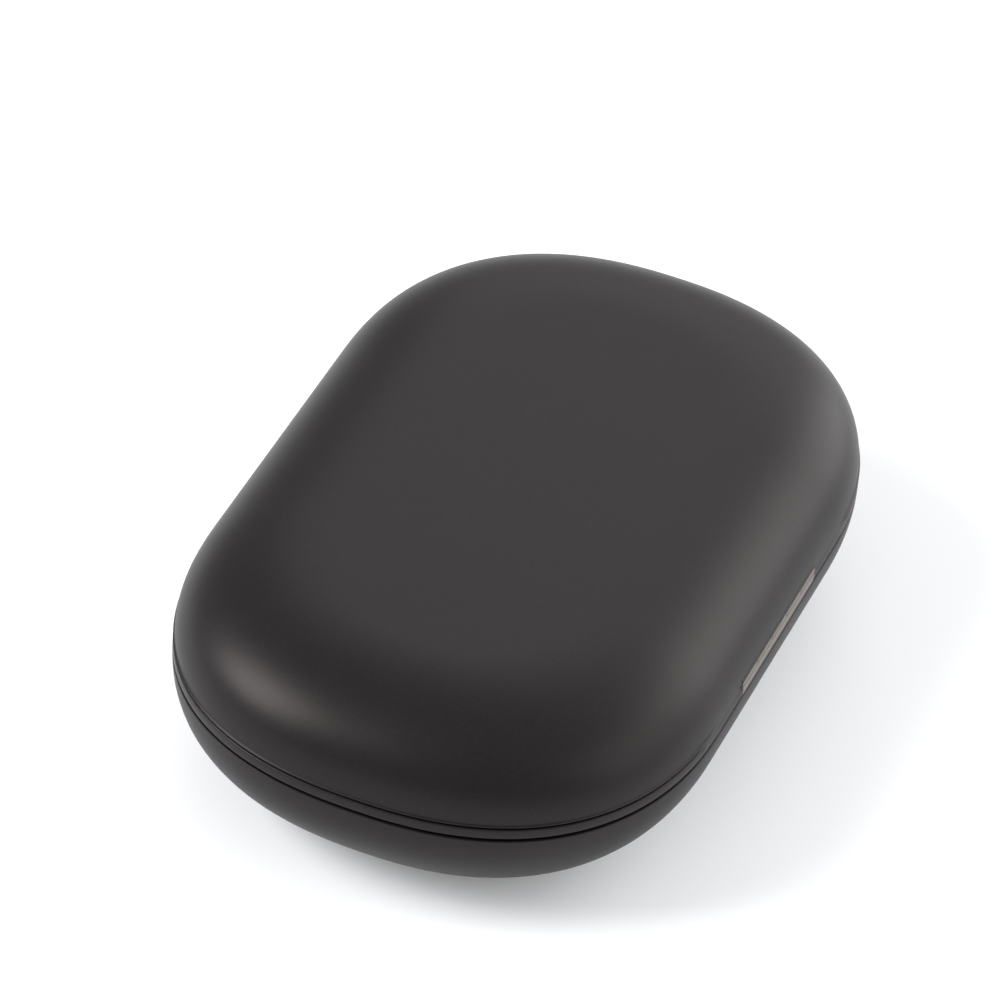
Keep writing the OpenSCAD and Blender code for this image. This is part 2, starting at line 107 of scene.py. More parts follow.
@dataclass(frozen=True)
class CaseSizes:
    """Main heights and half sizes of the case, in millimetres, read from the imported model."""

    half_len: float
    half_wid: float
    base_top: float
    band_lo: float
    band_hi: float
    top: float
    pivot_y: float
    pivot_z: float
    knuckle_r: float
    hinge_half: float

    @property
    def gap(self) -> float:
        """Half of a seam's open gap."""
        return (self.band_lo - self.base_top) / 2

    @property
    def base_h(self) -> float:
        """Height of the middle of the lower seam."""
        return self.base_top + self.gap

    @property
    def seam_z(self) -> float:
        """Height of the middle of the upper seam."""
        return self.band_hi + self.gap

    @classmethod
    def from_frame(cls) -> "CaseSizes":
        """Reads the sizes from the boxes of the CAD nodes.

        Returns:
            The sizes.
        """
        base_hi = node_box("base_shell")[1]
        band_hi = node_box("mid_frame")[1]
        lid_lo, lid_hi = node_box("lid_shell")
        pin_lo, pin_hi = node_box("hinge_pin")
        pivot = (pin_lo + pin_hi) / 2
        seam_gap = lid_lo[2] - band_hi[2]
        return cls(
            half_len=base_hi[0],
            half_wid=base_hi[1],
            base_top=base_hi[2],
            band_lo=base_hi[2] + seam_gap,
            band_hi=band_hi[2],
            top=lid_hi[2],
            pivot_y=pivot[1],
            pivot_z=pivot[2],
            knuckle_r=pivot[1] + base_hi[1],
            hinge_half=pin_hi[0],
        )


@dataclass(frozen=True)
class Mould:
    """Sizes in millimetres that no node's box gives, the same as in the part's source."""

    corner_len: float = 25.6
    corner_exp: float = 2.33
    lid_run: float = 14.0
    lid_exp: float = 2.35
    base_run: float = 18.0
    base_exp: float = 2.22
    wall: float = 1.3
    edge_r: float = 0.18
    fit: float = 0.1
    rim: float = 2.4
    ledge: float = 1.0
    deck_t: float = 1.1
    cup_wall: float = 0.9
    half_bay: float = 10.6
    pocket_room: float = 10.2
    liner_t: float = 1.0
    seam_bevel: float = 0.04
    hinge_clear: float = 0.06
    screw_head_r: float = 1.0
    frame_screw_r: float = 1.2
    plunger_r: float = 0.5
    barrel_r: float = 0.8
    button_r: float = 3.0
    button_fit: float = 0.15


SIZE = CaseSizes.from_frame()
MOULD = Mould()


def deck_heights() -> tuple[float, float]:
    """Heights of the cradle deck's top and underside."""
    top = node_box("cradle_tray")[1][2]
    return top, top - MOULD.deck_t


# ---------------------------------------------------------------------------------------------
# Outlines and domes
# ---------------------------------------------------------------------------------------------


@dataclass(frozen=True)
class Outline:
    """Outline of the case: two squared half ellipses joined by straight sides.

    A corner point is |x / rx| ** n + |y / ry| ** n = 1 about the corner's centre. Pushed in by d, the
    corner's two radii shrink by d and its centre stays.
    """

    corner_len: float = MOULD.corner_len
    corner_exp: float = MOULD.corner_exp
    corner_points: int = 64
    side_points: int = 30
    marks: tuple[float, ...] = ()

    def columns(self) -> tuple[np.ndarray, np.ndarray, np.ndarray]:
        """Columns that run round the outline, the same at every inset.

        The corner angles are spread so that the points are evenly spaced along the outer edge.

        Returns:
            For each column: share of the corner's x radius, share of its y radius and fixed x offset.
        """
        fine = np.linspace(0, math.pi / 2, 2000)
        fx = np.cos(fine) ** (2 / self.corner_exp)
        fy = np.sin(fine) ** (2 / self.corner_exp)
        run = np.r_[0, np.cumsum(np.hypot(np.diff(fx * self.corner_len), np.diff(fy * SIZE.half_wid)))]
        even = np.linspace(0, run[-1], self.corner_points + 1)
        cx, cy = np.interp(even, run, fx), np.interp(even, run, fy)
        mid = SIZE.half_len - self.corner_len
        marks = np.array(sorted({*self.marks, *(-m for m in self.marks)}))
        plain = np.linspace(-mid, mid, self.side_points + 1)[1:-1]
        if len(marks):
            plain = plain[np.abs(plain[:, None] - marks).min(1) > 0.3]
        straight = np.sort(np.r_[plain, marks])
        ones = np.ones(len(straight))
        quarter = [
            (cx, cy, mid + 0 * cx),
            (ones * 0, ones, straight[::-1]),
            (-cx[::-1], cy[::-1], -mid + 0 * cx),
            (-cx[1:], -cy[1:], -mid + 0 * cx[1:]),
            (ones * 0, -ones, straight),
            (cx[::-1][:-1], -cy[::-1][:-1], mid + 0 * cx[1:]),
        ]
        return tuple(np.concatenate([q[k] for q in quarter]) for k in range(3))

    def rings(self, inset: np.ndarray) -> np.ndarray:
        """Outline pushed in by each of the given insets.

        Args:
            inset: Insets, one for each ring, as a column or a whole grid.

        Returns:
            Array of rings by columns by x and y.
        """
        share_x, share_y, offset = self.columns()
        inset = np.atleast_1d(inset)
        inset = inset[:, None] if inset.ndim == 1 else inset
        x = offset + share_x * (self.corner_len - inset)
        y = share_y * (SIZE.half_wid - inset)
        return np.stack([x, y], -1)

    @classmethod
    def with_hinge(cls) -> "Outline":
        """Outline with a close pair of columns at each end of the hinge."""
        return cls(marks=(SIZE.hinge_half + 0.05, SIZE.hinge_half + 0.09))

    def at_hinge(self) -> np.ndarray:
        """Whether each column lies along the hinge."""
        share_x, share_y, offset = self.columns()
        return (share_x == 0) & (share_y < 0) & (np.abs(offset) < SIZE.hinge_half + 0.07)


@dataclass(frozen=True)
class Dome:
    """Section of a domed shell: a quarter of a squared ellipse, height against inset.

    inset = run * (1 - (1 - (z / height) ** n) ** (1 / n)).
    """

    height: float
    run: float
    exp: float

    def inset(self, z: np.ndarray) -> np.ndarray:
        """Inset of the surface at a height z above its edge."""
        share = np.clip(np.asarray(z, float) / self.height, 0, 1)
        return self.run * (1 - (1 - share**self.exp) ** (1 / self.exp))

    def heights(self, start: float, count: int) -> np.ndarray:
        """Heights from start to the top, close together where the surface turns fastest.

        Args:
            start: Lowest height.
            count: How many heights.

        Returns:
            The heights.
        """
        q0 = math.asin(min(1.0, (start / self.height) ** (self.exp / 2)))
        q = np.linspace(q0, math.pi / 2, count)
        return self.height * np.sin(q) ** (2 / self.exp)

    def inner(self, wall: float) -> "Dome":
        """The same dome's inner surface, one wall inside it."""
        return Dome(self.height - wall, self.run - wall, self.exp)


# ---------------------------------------------------------------------------------------------
# Meshes
# ---------------------------------------------------------------------------------------------


@dataclass
class Faces:
    """Points in millimetres and the faces between them, gathered from several surfaces."""

    points: list[np.ndarray] = field(default_factory=list)
    faces: list[np.ndarray] = field(default_factory=list)
    count: int = 0

    def add(self, points: np.ndarray, faces: np.ndarray) -> None:
        """Adds a surface.

        Args:
            points: Its points, an n by 3 array.
            faces: Its faces, as rows of point numbers.
        """
        self.points.append(np.asarray(points, float).reshape(-1, 3))
        self.faces.append(np.asarray(faces) + self.count)
        self.count += len(self.points[-1])

    def add_grid(
        self, grid: np.ndarray, wrap_u: bool = False, wrap_v: bool = True, flip: bool = False
    ) -> None:
        """Adds a grid of quads.

        Args:
            grid: Array of rows by columns by x, y and z.
            wrap_u: Whether the last row joins the first.
            wrap_v: Whether the last column joins the first.
            flip: Whether the faces turn the other way.
        """
        rows, cols = grid.shape[:2]
        row = np.arange(rows if wrap_u else rows - 1)[:, None]
        col = np.arange(cols if wrap_v else cols - 1)[None, :]
        next_row, next_col = (row + 1) % rows, (col + 1) % cols
        near = [row * cols + col, row * cols + next_col]
        far = [next_row * cols + next_col, next_row * cols + col]
        quads = np.stack([*near, *far], -1).reshape(-1, 4)
        self.add(grid, quads[:, ::-1] if flip else quads)

    def add_cap(self, ring: np.ndarray, up: bool) -> None:
        """Closes a flat ring with one face.

        Args:
            ring: Its points.
            up: Whether the face looks up.
        """
        n = len(ring)
        area = np.sum(ring[:, 0] * np.roll(ring[:, 1], -1) - np.roll(ring[:, 0], -1) * ring[:, 1])
        order = np.arange(n) if (area > 0) == up else np.arange(n)[::-1]
        self.add(ring, order[None, :])

    def add_flat(self, outer: np.ndarray, holes: list[np.ndarray], z: float, up: bool) -> None:
        """Fills a flat outline that has holes in it.

        Args:
            outer: Outer outline, as x and y points.
            holes: Outlines of the holes.
            z: Height of the flat.
            up: Whether it looks up.
        """
        loops = [outer, *holes]
        starts = np.cumsum([0, *(len(loop) for loop in loops)])
        edges = [
            (int(start + i), int(start + (i + 1) % len(loop)))
            for start, loop in zip(starts, loops)
            for i in range(len(loop))
        ]
        points = [Vector(p) for p in np.concatenate(loops).tolist()]
        found = delaunay_2d_cdt(points, edges, [], 1, 1e-7)
        flat = np.array([p[:] for p in found[0]])
        triangles = np.array(found[2])
        centre = flat[triangles].mean(1)
        keep = inside(centre, outer)
        for hole in holes:
            keep &= ~inside(centre, hole)
        triangles = triangles[keep]
        self.add(with_z(flat, z), triangles if up else triangles[:, ::-1])

    def mesh(self, name: str, merge: float = 1e-4) -> bpy.types.Mesh:
        """Makes the mesh, in metres, with doubles merged and hard edges kept sharp.

        Args:
            name: Name of the mesh.
            merge: How close points must be to merge, in millimetres.

        Returns:
            The mesh.
        """
        mesh = bpy.data.meshes.new(name)
        points = np.concatenate(self.points) * MM
        mesh.from_pydata(points, [], [face for block in self.faces for face in block.tolist()])
        weld(mesh, merge * MM)
        shade(mesh)
        return mesh


def shade(mesh: bpy.types.Mesh) -> None:
    """Shades a mesh smooth, with its hard edges kept sharp."""
    mesh.shade_smooth()
    mesh.set_sharp_from_angle(angle=SHARP_ANGLE)


def inside(points: np.ndarray, loop: np.ndarray) -> np.ndarray:
    """Whether each point lies inside a closed outline, by counting the sides to its right.

    Args:
        points: The x and y points.
        loop: The outline's x and y points.

    Returns:
        One truth value for each point.
    """
    x, y = points[:, :1], points[:, 1:2]
    x0, y0 = loop[:, 0], loop[:, 1]
    x1, y1 = np.roll(x0, -1), np.roll(y0, -1)
    crosses = (y0 > y) != (y1 > y)
    with np.errstate(divide="ignore", invalid="ignore"):
        at = x0 + (y - y0) * (x1 - x0) / (y1 - y0)
    return (crosses & (x < at)).sum(1) % 2 == 1


def weld(mesh: bpy.types.Mesh, distance: float) -> None:
    """Merges points that lie together and drops faces without area.

    Args:
        mesh: Mesh to clean.
        distance: How close points must be, in metres.
    """
    bm = bmesh.new()
    bm.from_mesh(mesh)
    bmesh.ops.remove_doubles(bm, verts=bm.verts, dist=distance)
    bmesh.ops.dissolve_degenerate(bm, edges=bm.edges, dist=distance)
    bm.to_mesh(mesh)
    bm.free()


def with_z(ring: np.ndarray, z: float | np.ndarray) -> np.ndarray:
    """Adds heights to an array of x and y points."""
    return np.concatenate([ring, np.broadcast_to(z, ring.shape[:-1])[..., None]], -1)


def cut_from(mesh: bpy.types.Mesh, cutters: list[bpy.types.Mesh]) -> bpy.types.Mesh:
    """Cuts closed shapes out of a closed mesh.

    Args:
        mesh: Mesh to cut.
        cutters: Closed meshes to take away.

    Returns:
        The cut mesh; the meshes given are removed.
    """
    body = bpy.data.objects.new("cut_body", mesh)
    bpy.context.scene.collection.objects.link(body)
    tools = []
    for i, cutter in enumerate(cutters):
        tool = bpy.data.objects.new(f"cut_tool_{i}", cutter)
        bpy.context.scene.collection.objects.link(tool)
        modifier = body.modifiers.new(f"cut_{i}", "BOOLEAN")
        modifier.object = tool
        modifier.operation = "DIFFERENCE"
        modifier.solver = "EXACT"
        tools.append(tool)
    bpy.context.view_layer.update()
    result = bpy.data.meshes.new_from_object(body.evaluated_get(bpy.context.evaluated_depsgraph_get()))
    for thing in [body, *tools]:
        data = thing.data
        bpy.data.objects.remove(thing)
        bpy.data.meshes.remove(data)
    shade(result)
    return result


def stadium(width: float, height: float, points: int = 24) -> np.ndarray:
    """Slot outline with round ends.

    Args:
        width: Its width, from end to end.
        height: Its height, which is the ends' diameter.
        points: Points on each round end.

    Returns:
        Its x and z points about its centre, anticlockwise.
    """
    r = height / 2
    angle = np.linspace(-math.pi / 2, math.pi / 2, points)
    right = np.stack([width / 2 - r + r * np.cos(angle), r * np.sin(angle)], -1)
    return np.r_[right, -right]


def lathe(profile: list[tuple[float, float]], points: int = 48) -> np.ndarray:
    """Profile turned about the Z axis.

    Args:
        profile: Radius and height of each row.
        points: Steps round the axis.

    Returns:
        Grid of rows by steps by x, y and z.
    """
    radius, height = np.array(profile, float).T[..., None]
    angle = np.arange(points) * 2 * math.pi / points
    return np.stack([radius * np.cos(angle), radius * np.sin(angle), height + 0 * angle], -1)


def rounded_box(lo: np.ndarray | tuple, hi: np.ndarray | tuple, edge: float) -> Faces:
    """Box with chamfered edges: the hull of the 24 corners of its six inset sides.

    Args:
        lo: Lowest corner.
        hi: Highest corner.
        edge: Width of the chamfer.

    Returns:
        Its surface.
    """
    lo, hi = np.asarray(lo, float), np.asarray(hi, float)
    signs = np.array([[i, j, k] for i in (0, 1) for j in (0, 1) for k in (0, 1)])
    corner = np.where(signs == 1, hi, lo)
    inward = np.where(signs == 1, -edge, edge)
    points = np.repeat(corner, 3, 0) + np.repeat(inward, 3, 0) * (1 - np.tile(np.eye(3), (8, 1)))
    hull = Faces()
    bm = bmesh.new()
    for p in points:
        bm.verts.new(p)
    bmesh.ops.convex_hull(bm, input=bm.verts)
    bm.verts.index_update()
    corners = np.array([v.co[:] for v in bm.verts])
    hull.add(corners, np.array([[v.index for v in f.verts] for f in bm.faces]))
    bm.free()
    return hull


def join(*parts: Faces) -> Faces:
    """Gathers several surfaces into one.

    Args:
        parts: The surfaces.

    Returns:
        The whole.
    """
    whole = Faces()
    for part in parts:
        whole.faces += [faces + whole.count for faces in part.faces]
        whole.points += part.points
        whole.count += part.count
    return whole


@dataclass(frozen=True)
class Loop:
    """Closed outline: a squared ellipse about a centre, |x / half_x| ** n + |y / half_y| ** n = 1.

    An inset makes both half widths smaller by the same amount.
    """

    x: float
    y: float
    half_x: float
    half_y: float
    exp: float = 2.0
    points: int = 144

    def at(self, inset: float = 0.0) -> np.ndarray:
        """Outline pushed in by an inset.

        Args:
            inset: The inset; below zero it makes the outline larger.

        Returns:
            Its x and y points, anticlockwise.
        """
        angle = np.arange(self.points) * 2 * math.pi / self.points
        across, along = np.cos(angle), np.sin(angle)
        power = 2 / self.exp
        x = self.x + (self.half_x - inset) * np.sign(across) * np.abs(across) ** power
        y = self.y + (self.half_y - inset) * np.sign(along) * np.abs(along) ** power
        return np.stack([x, y], -1)


@dataclass(frozen=True)
class Pair:
    """Outline that wraps round two circles, as a belt does."""

    one: Loop
    two: Loop
    points: int = 144

    def at(self, inset: float = 0.0) -> np.ndarray:
        """Outline pushed in by an inset: in each direction, the circle that reaches furthest.

        Args:
            inset: The inset; below zero it makes the outline larger.

        Returns:
            Its x and y points, anticlockwise.
        """
        angle = np.arange(self.points) * 2 * math.pi / self.points
        way = np.stack([np.cos(angle), np.sin(angle)], -1)
        one, two = (
            np.array([circle.x, circle.y]) + way * (circle.half_x - inset) for circle in (self.one, self.two)
        )
        further = ((one - two) * way).sum(-1, keepdims=True) >= 0
        return np.where(further, one, two)


def wall_profile(start: float, end: float, lip: float, fillet: float) -> list[tuple[float, float]]:
    """Insets and heights of a moulded wall, from a flat at one height to a flat at another.

    A quarter circle rounds the lip, the wall runs straight, and a quarter circle fills the foot. A thin
    flat margin at both ends keeps the flats' shading flat.

    Args:
        start: Height that the wall starts from.
        end: Height that it leads to.
        lip: Radius of the rounded lip.
        fillet: Radius of the filled foot.

    Returns:
        The inset and the height of each row.
    """
    way = math.copysign(1, end - start)
    angle = np.linspace(0, math.pi / 2, 7)
    lips = np.stack([-lip + lip * np.sin(angle), start + way * lip * (1 - np.cos(angle))], -1)
    feet = np.stack([fillet * (1 - np.cos(angle)), end - way * fillet * (1 - np.sin(angle))], -1)
    return [(-lip - FLAT_MARGIN, start), *lips.tolist(), *feet.tolist(), (fillet + FLAT_MARGIN, end)]


def wall(loop: Loop | Pair, rows: list[tuple[float, float]], outside: bool = False) -> Faces:
    """Wall that follows an outline, seen from inside it unless told otherwise.

    Args:
        loop: The outline.
        rows: Inset and height of each row.
        outside: Whether the wall is seen from outside the outline.

    Returns:
        Its surface.
    """
    grid = np.stack([with_z(loop.at(inset), z) for inset, z in rows])
    down = rows[-1][1] < rows[0][1]
    part = Faces()
    part.add_grid(grid, flip=down == outside)
    return part


# ---------------------------------------------------------------------------------------------
# Finishes
# ---------------------------------------------------------------------------------------------


class Slot(Enum):
    """Material slots of the record."""

    SHELL = "soft_touch_shell"
    FRAME = "frame_plastic"
    CRADLE = "cradle_plastic"
    BUTTON = "button_plastic"
    NICKEL = "nickel"
    HINGE = "hinge_steel"
    PIN = "pin_steel"
    SCREW = "screw_steel"
    CELL = "cell_foil"
    FOAM = "foam"
    CONNECTOR = "connector_plastic"
    BOARD = "board"
    CHIP = "chip"
    SOCKET = "socket_steel"
    LED = "led"
    PIPE = "light_pipe"
    FLEX = "flex"
    GOLD = "gold"


@dataclass(frozen=True)
class Finish:
    """Look of one material: an even colour with fine grain and a faint mottle, all from noise."""

    slot: Slot
    colour: tuple[float, float, float]
    roughness: float
    metallic: float = 0.0
    specular: float = 0.5
    grain_mm: float = 0.12
    grain_depth_mm: float = 0.004
    grain_strength: float = 0.5
    mottle: float = 0.06
    mottle_mm: float = 3.0
    speck: float = 0.0
    transmission: float = 0.0
    glow: float = 0.0
    tint: tuple[float, float, float] = (1.0, 1.0, 1.0)

    def material(self) -> bpy.types.Material:
        """Builds the node material.

        Returns:
            The material.
        """
        mat = bpy.data.materials.new(self.slot.value)
        mat.use_nodes = True
        nodes, links = mat.node_tree.nodes, mat.node_tree.links
        shader = nodes["Principled BSDF"]
        shader.inputs["Metallic"].default_value = self.metallic
        shader.inputs["Specular IOR Level"].default_value = self.specular
        shader.inputs["Transmission Weight"].default_value = self.transmission
        shader.inputs["Specular Tint"].default_value = (*self.tint, 1)
        where = nodes.new("ShaderNodeTexCoord").outputs["Object"]

        def noise(size_mm: float, detail: float) -> bpy.types.NodeSocket:
            """Noise in the piece's own coordinates.

            Args:
                size_mm: About the size of its features.
                detail: How much finer detail it has.

            Returns:
                Its output.
            """
            node = nodes.new("ShaderNodeTexNoise")
            node.inputs["Scale"].default_value = 1 / (size_mm * MM)
            node.inputs["Detail"].default_value = detail
            links.new(where, node.inputs["Vector"])
            return node.outputs["Fac"]

        def spread(source: bpy.types.NodeSocket, lo: float, hi: float) -> bpy.types.NodeSocket:
            """Maps the middle of a noise onto a range.

            Args:
                source: Output of the noise.
                lo: Low end of the range.
                hi: High end of the range.

            Returns:
                The mapped output.
            """
            node = nodes.new("ShaderNodeMapRange")
            node.inputs["From Min"].default_value = 0.3
            node.inputs["From Max"].default_value = 0.7
            node.inputs["To Min"].default_value = lo
            node.inputs["To Max"].default_value = hi
            links.new(source, node.inputs["Value"])
            return node.outputs["Result"]

        fine = noise(self.grain_mm, 2)
        slow = noise(self.mottle_mm, 3)
        shade = spread(slow, 1 - self.mottle, 1 + self.mottle)
        if self.speck:
            node = nodes.new("ShaderNodeMath")
            node.operation = "MULTIPLY"
            links.new(shade, node.inputs[0])
            links.new(spread(fine, 1 - self.speck, 1 + self.speck), node.inputs[1])
            shade = node.outputs["Value"]
        tint = nodes.new("ShaderNodeVectorMath")
        tint.operation = "SCALE"
        tint.inputs[0].default_value = self.colour
        links.new(shade, tint.inputs["Scale"])
        links.new(tint.outputs["Vector"], shader.inputs["Base Color"])
        rough = spread(slow, self.roughness * (1 - self.mottle), self.roughness * (1 + self.mottle))
        links.new(rough, shader.inputs["Roughness"])
        bump = nodes.new("ShaderNodeBump")
        bump.inputs["Strength"].default_value = self.grain_strength
        bump.inputs["Distance"].default_value = self.grain_depth_mm * MM
        links.new(fine, bump.inputs["Height"])
        links.new(bump.outputs["Normal"], shader.inputs["Normal"])
        if self.glow:
            shader.inputs["Emission Color"].default_value = (*self.colour, 1)
            shader.inputs["Emission Strength"].default_value = self.glow
        return mat


FINISHES = (
    Finish(Slot.SHELL, (0.0082, 0.0068, 0.008), 0.42, specular=0.21, grain_mm=0.24,
           grain_depth_mm=0.008, mottle=0.02, speck=0.2, tint=(1.0, 0.92, 0.895)),
    Finish(Slot.FRAME, (0.0082, 0.0068, 0.008), 0.38, specular=0.21, grain_mm=0.2, speck=0.06,
           tint=(1.0, 0.92, 0.895)),
    Finish(Slot.CRADLE, (0.018, 0.018, 0.018), 0.42, grain_mm=0.16),
    Finish(Slot.BUTTON, (0.03, 0.03, 0.03), 0.38, grain_mm=0.16),
    Finish(Slot.NICKEL, (0.62, 0.6, 0.57), 0.28, metallic=1, mottle=0.03),
    Finish(Slot.HINGE, (0.18, 0.16, 0.148), 0.55, metallic=0.6, grain_mm=0.1, mottle=0.03),
    Finish(Slot.PIN, (0.5, 0.49, 0.47), 0.3, metallic=1, mottle=0.03),
    Finish(Slot.SCREW, (0.35, 0.34, 0.33), 0.34, metallic=1, mottle=0.03),
    Finish(Slot.CELL, (0.3, 0.33, 0.37), 0.36, metallic=0.7, grain_mm=0.6, grain_depth_mm=0.02),
    Finish(Slot.FOAM, (0.05, 0.05, 0.052), 0.9, grain_mm=0.3, grain_depth_mm=0.06, mottle=0.15),
    Finish(Slot.CONNECTOR, (0.72, 0.7, 0.64), 0.45),
    Finish(Slot.BOARD, (0.012, 0.06, 0.035), 0.4, mottle=0.12, mottle_mm=1.2),
    Finish(Slot.CHIP, (0.02, 0.02, 0.021), 0.5, grain_mm=0.1),
    Finish(Slot.SOCKET, (0.5, 0.5, 0.51), 0.3, metallic=1, mottle=0.03),
    Finish(Slot.LED, (0.9, 0.88, 0.72), 0.4, glow=0.4),
    Finish(Slot.PIPE, (0.2, 0.2, 0.21), 0.22, transmission=0.35),
    Finish(Slot.FLEX, (0.35, 0.15, 0.04), 0.42, mottle=0.1),
    Finish(Slot.GOLD, (0.85, 0.6, 0.25), 0.24, metallic=1, mottle=0.03),
)


@dataclass
class Palette:
    """The materials, one for each slot of the record."""

    materials: dict[Slot, bpy.types.Material] = field(default_factory=dict)

    def build(self) -> None:
        """Makes every material."""
        self.materials = {finish.slot: finish.material() for finish in FINISHES}

    def piece(
        self, name: str, faces: Faces | bpy.types.Mesh, body: str, slot: Slot, *nodes: str
    ) -> bpy.types.Object:
        """Puts a surface in the scene as a piece of the case.

        Args:
            name: Name of the piece.
            faces: Its surface or its mesh, in place.
            body: CAD body that it rides on.
            slot: Its material slot.
            nodes: CAD nodes that it stands for.

        Returns:
            The piece.
        """
        mesh = faces.mesh(name) if isinstance(faces, Faces) else faces
        mesh.name = name
        mesh.materials.clear()
        mesh.materials.append(self.materials[slot])
        piece = bpy.data.objects.new(name, mesh)
        bpy.context.scene.collection.objects.link(piece)
        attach(piece, body)
        if nodes:
            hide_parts(*nodes)
        LOG.info("%s: %d faces", name, len(mesh.polygons))
        return piece


# ---------------------------------------------------------------------------------------------
# Shells and frame
# ---------------------------------------------------------------------------------------------


@dataclass
class DomedShell:
    """A hollow domed shell with a rounded edge at the seam.

    If asked, it has a small lip above that edge, an edge set back from the seam, a bevel along the hinge
    side and a notch for the hinge.
    """

    dome: Dome
    wall: float = MOULD.wall
    edge_r: float = MOULD.edge_r
    bevel: float = 0.0
    lip: float = 0.0
    set_back: float = 0.0
    notch_rise: float = 0.0
    outer_rings: int = 72
    inner_rings: int = 26
    crown_inset: float = 0.4

    def rises(self) -> np.ndarray:
        """Rises above the seam's middle and insets, from the outer edge over the top to the inner edge.

        Returns:
            Array of two sections, one with its edge at the seam and one with its edge at the notch, by
            rings by rise and inset.
        """
        angle = np.linspace(0, math.pi / 2, 6)
        inner = self.dome.inner(self.wall)
        sections = []
        seam_edge = SIZE.gap + self.set_back
        for start, r in ((seam_edge, self.edge_r), (max(seam_edge, self.notch_rise), self.edge_r / 3)):
            edge = start + r * (1 - np.cos(angle))
            edge_in = self.dome.inset(edge) + r * (1 - np.sin(angle))
            up = self.dome.heights(start + r + self.lip + 0.02, self.outer_rings)
            down = inner.heights(start, self.inner_rings)[::-1]
            rise = np.r_[edge, up, up[-1], down[0], down]
            crowns = (self.dome.run + self.crown_inset, inner.run + self.wall + self.crown_inset)
            outer_in = self.dome.inset(up) + self.lip
            inset = np.r_[edge_in, outer_in, crowns, inner.inset(down) + self.wall]
            sections.append(np.stack([rise, inset], -1))
        return np.stack(sections)

    def surface(self, base_z: float, way: int) -> Faces:
        """The closed surface.

        Args:
            base_z: Height of the seam's middle.
            way: 1 for a shell that rises from its seam, -1 for one that hangs below it.

        Returns:
            Its surface.
        """
        outline = Outline.with_hinge()
        notch = outline.at_hinge() & (self.notch_rise > 0)
        plain, notched = self.rises()
        section = np.where(notch[None, :, None], notched[:, None], plain[:, None])
        rise, inset = section[..., 0], section[..., 1]
        flat = outline.rings(inset)
        half = len(rise) - self.inner_rings - 1
        if self.bevel:
            limit = self.bevel - rise[:half] - SIZE.half_wid
            flat[:half, :, 1] = np.maximum(flat[:half, :, 1], limit)
        grid = with_z(flat, base_z + way * rise)
        shell = Faces()
        shell.add_grid(grid[:half], flip=way < 0)
        shell.add_cap(grid[half - 1], up=way > 0)
        shell.add_cap(grid[half], up=way < 0)
        shell.add_grid(grid[half:], flip=way < 0)
        shell.add_grid(np.stack([grid[-1], grid[0]]), flip=way < 0)
        return shell


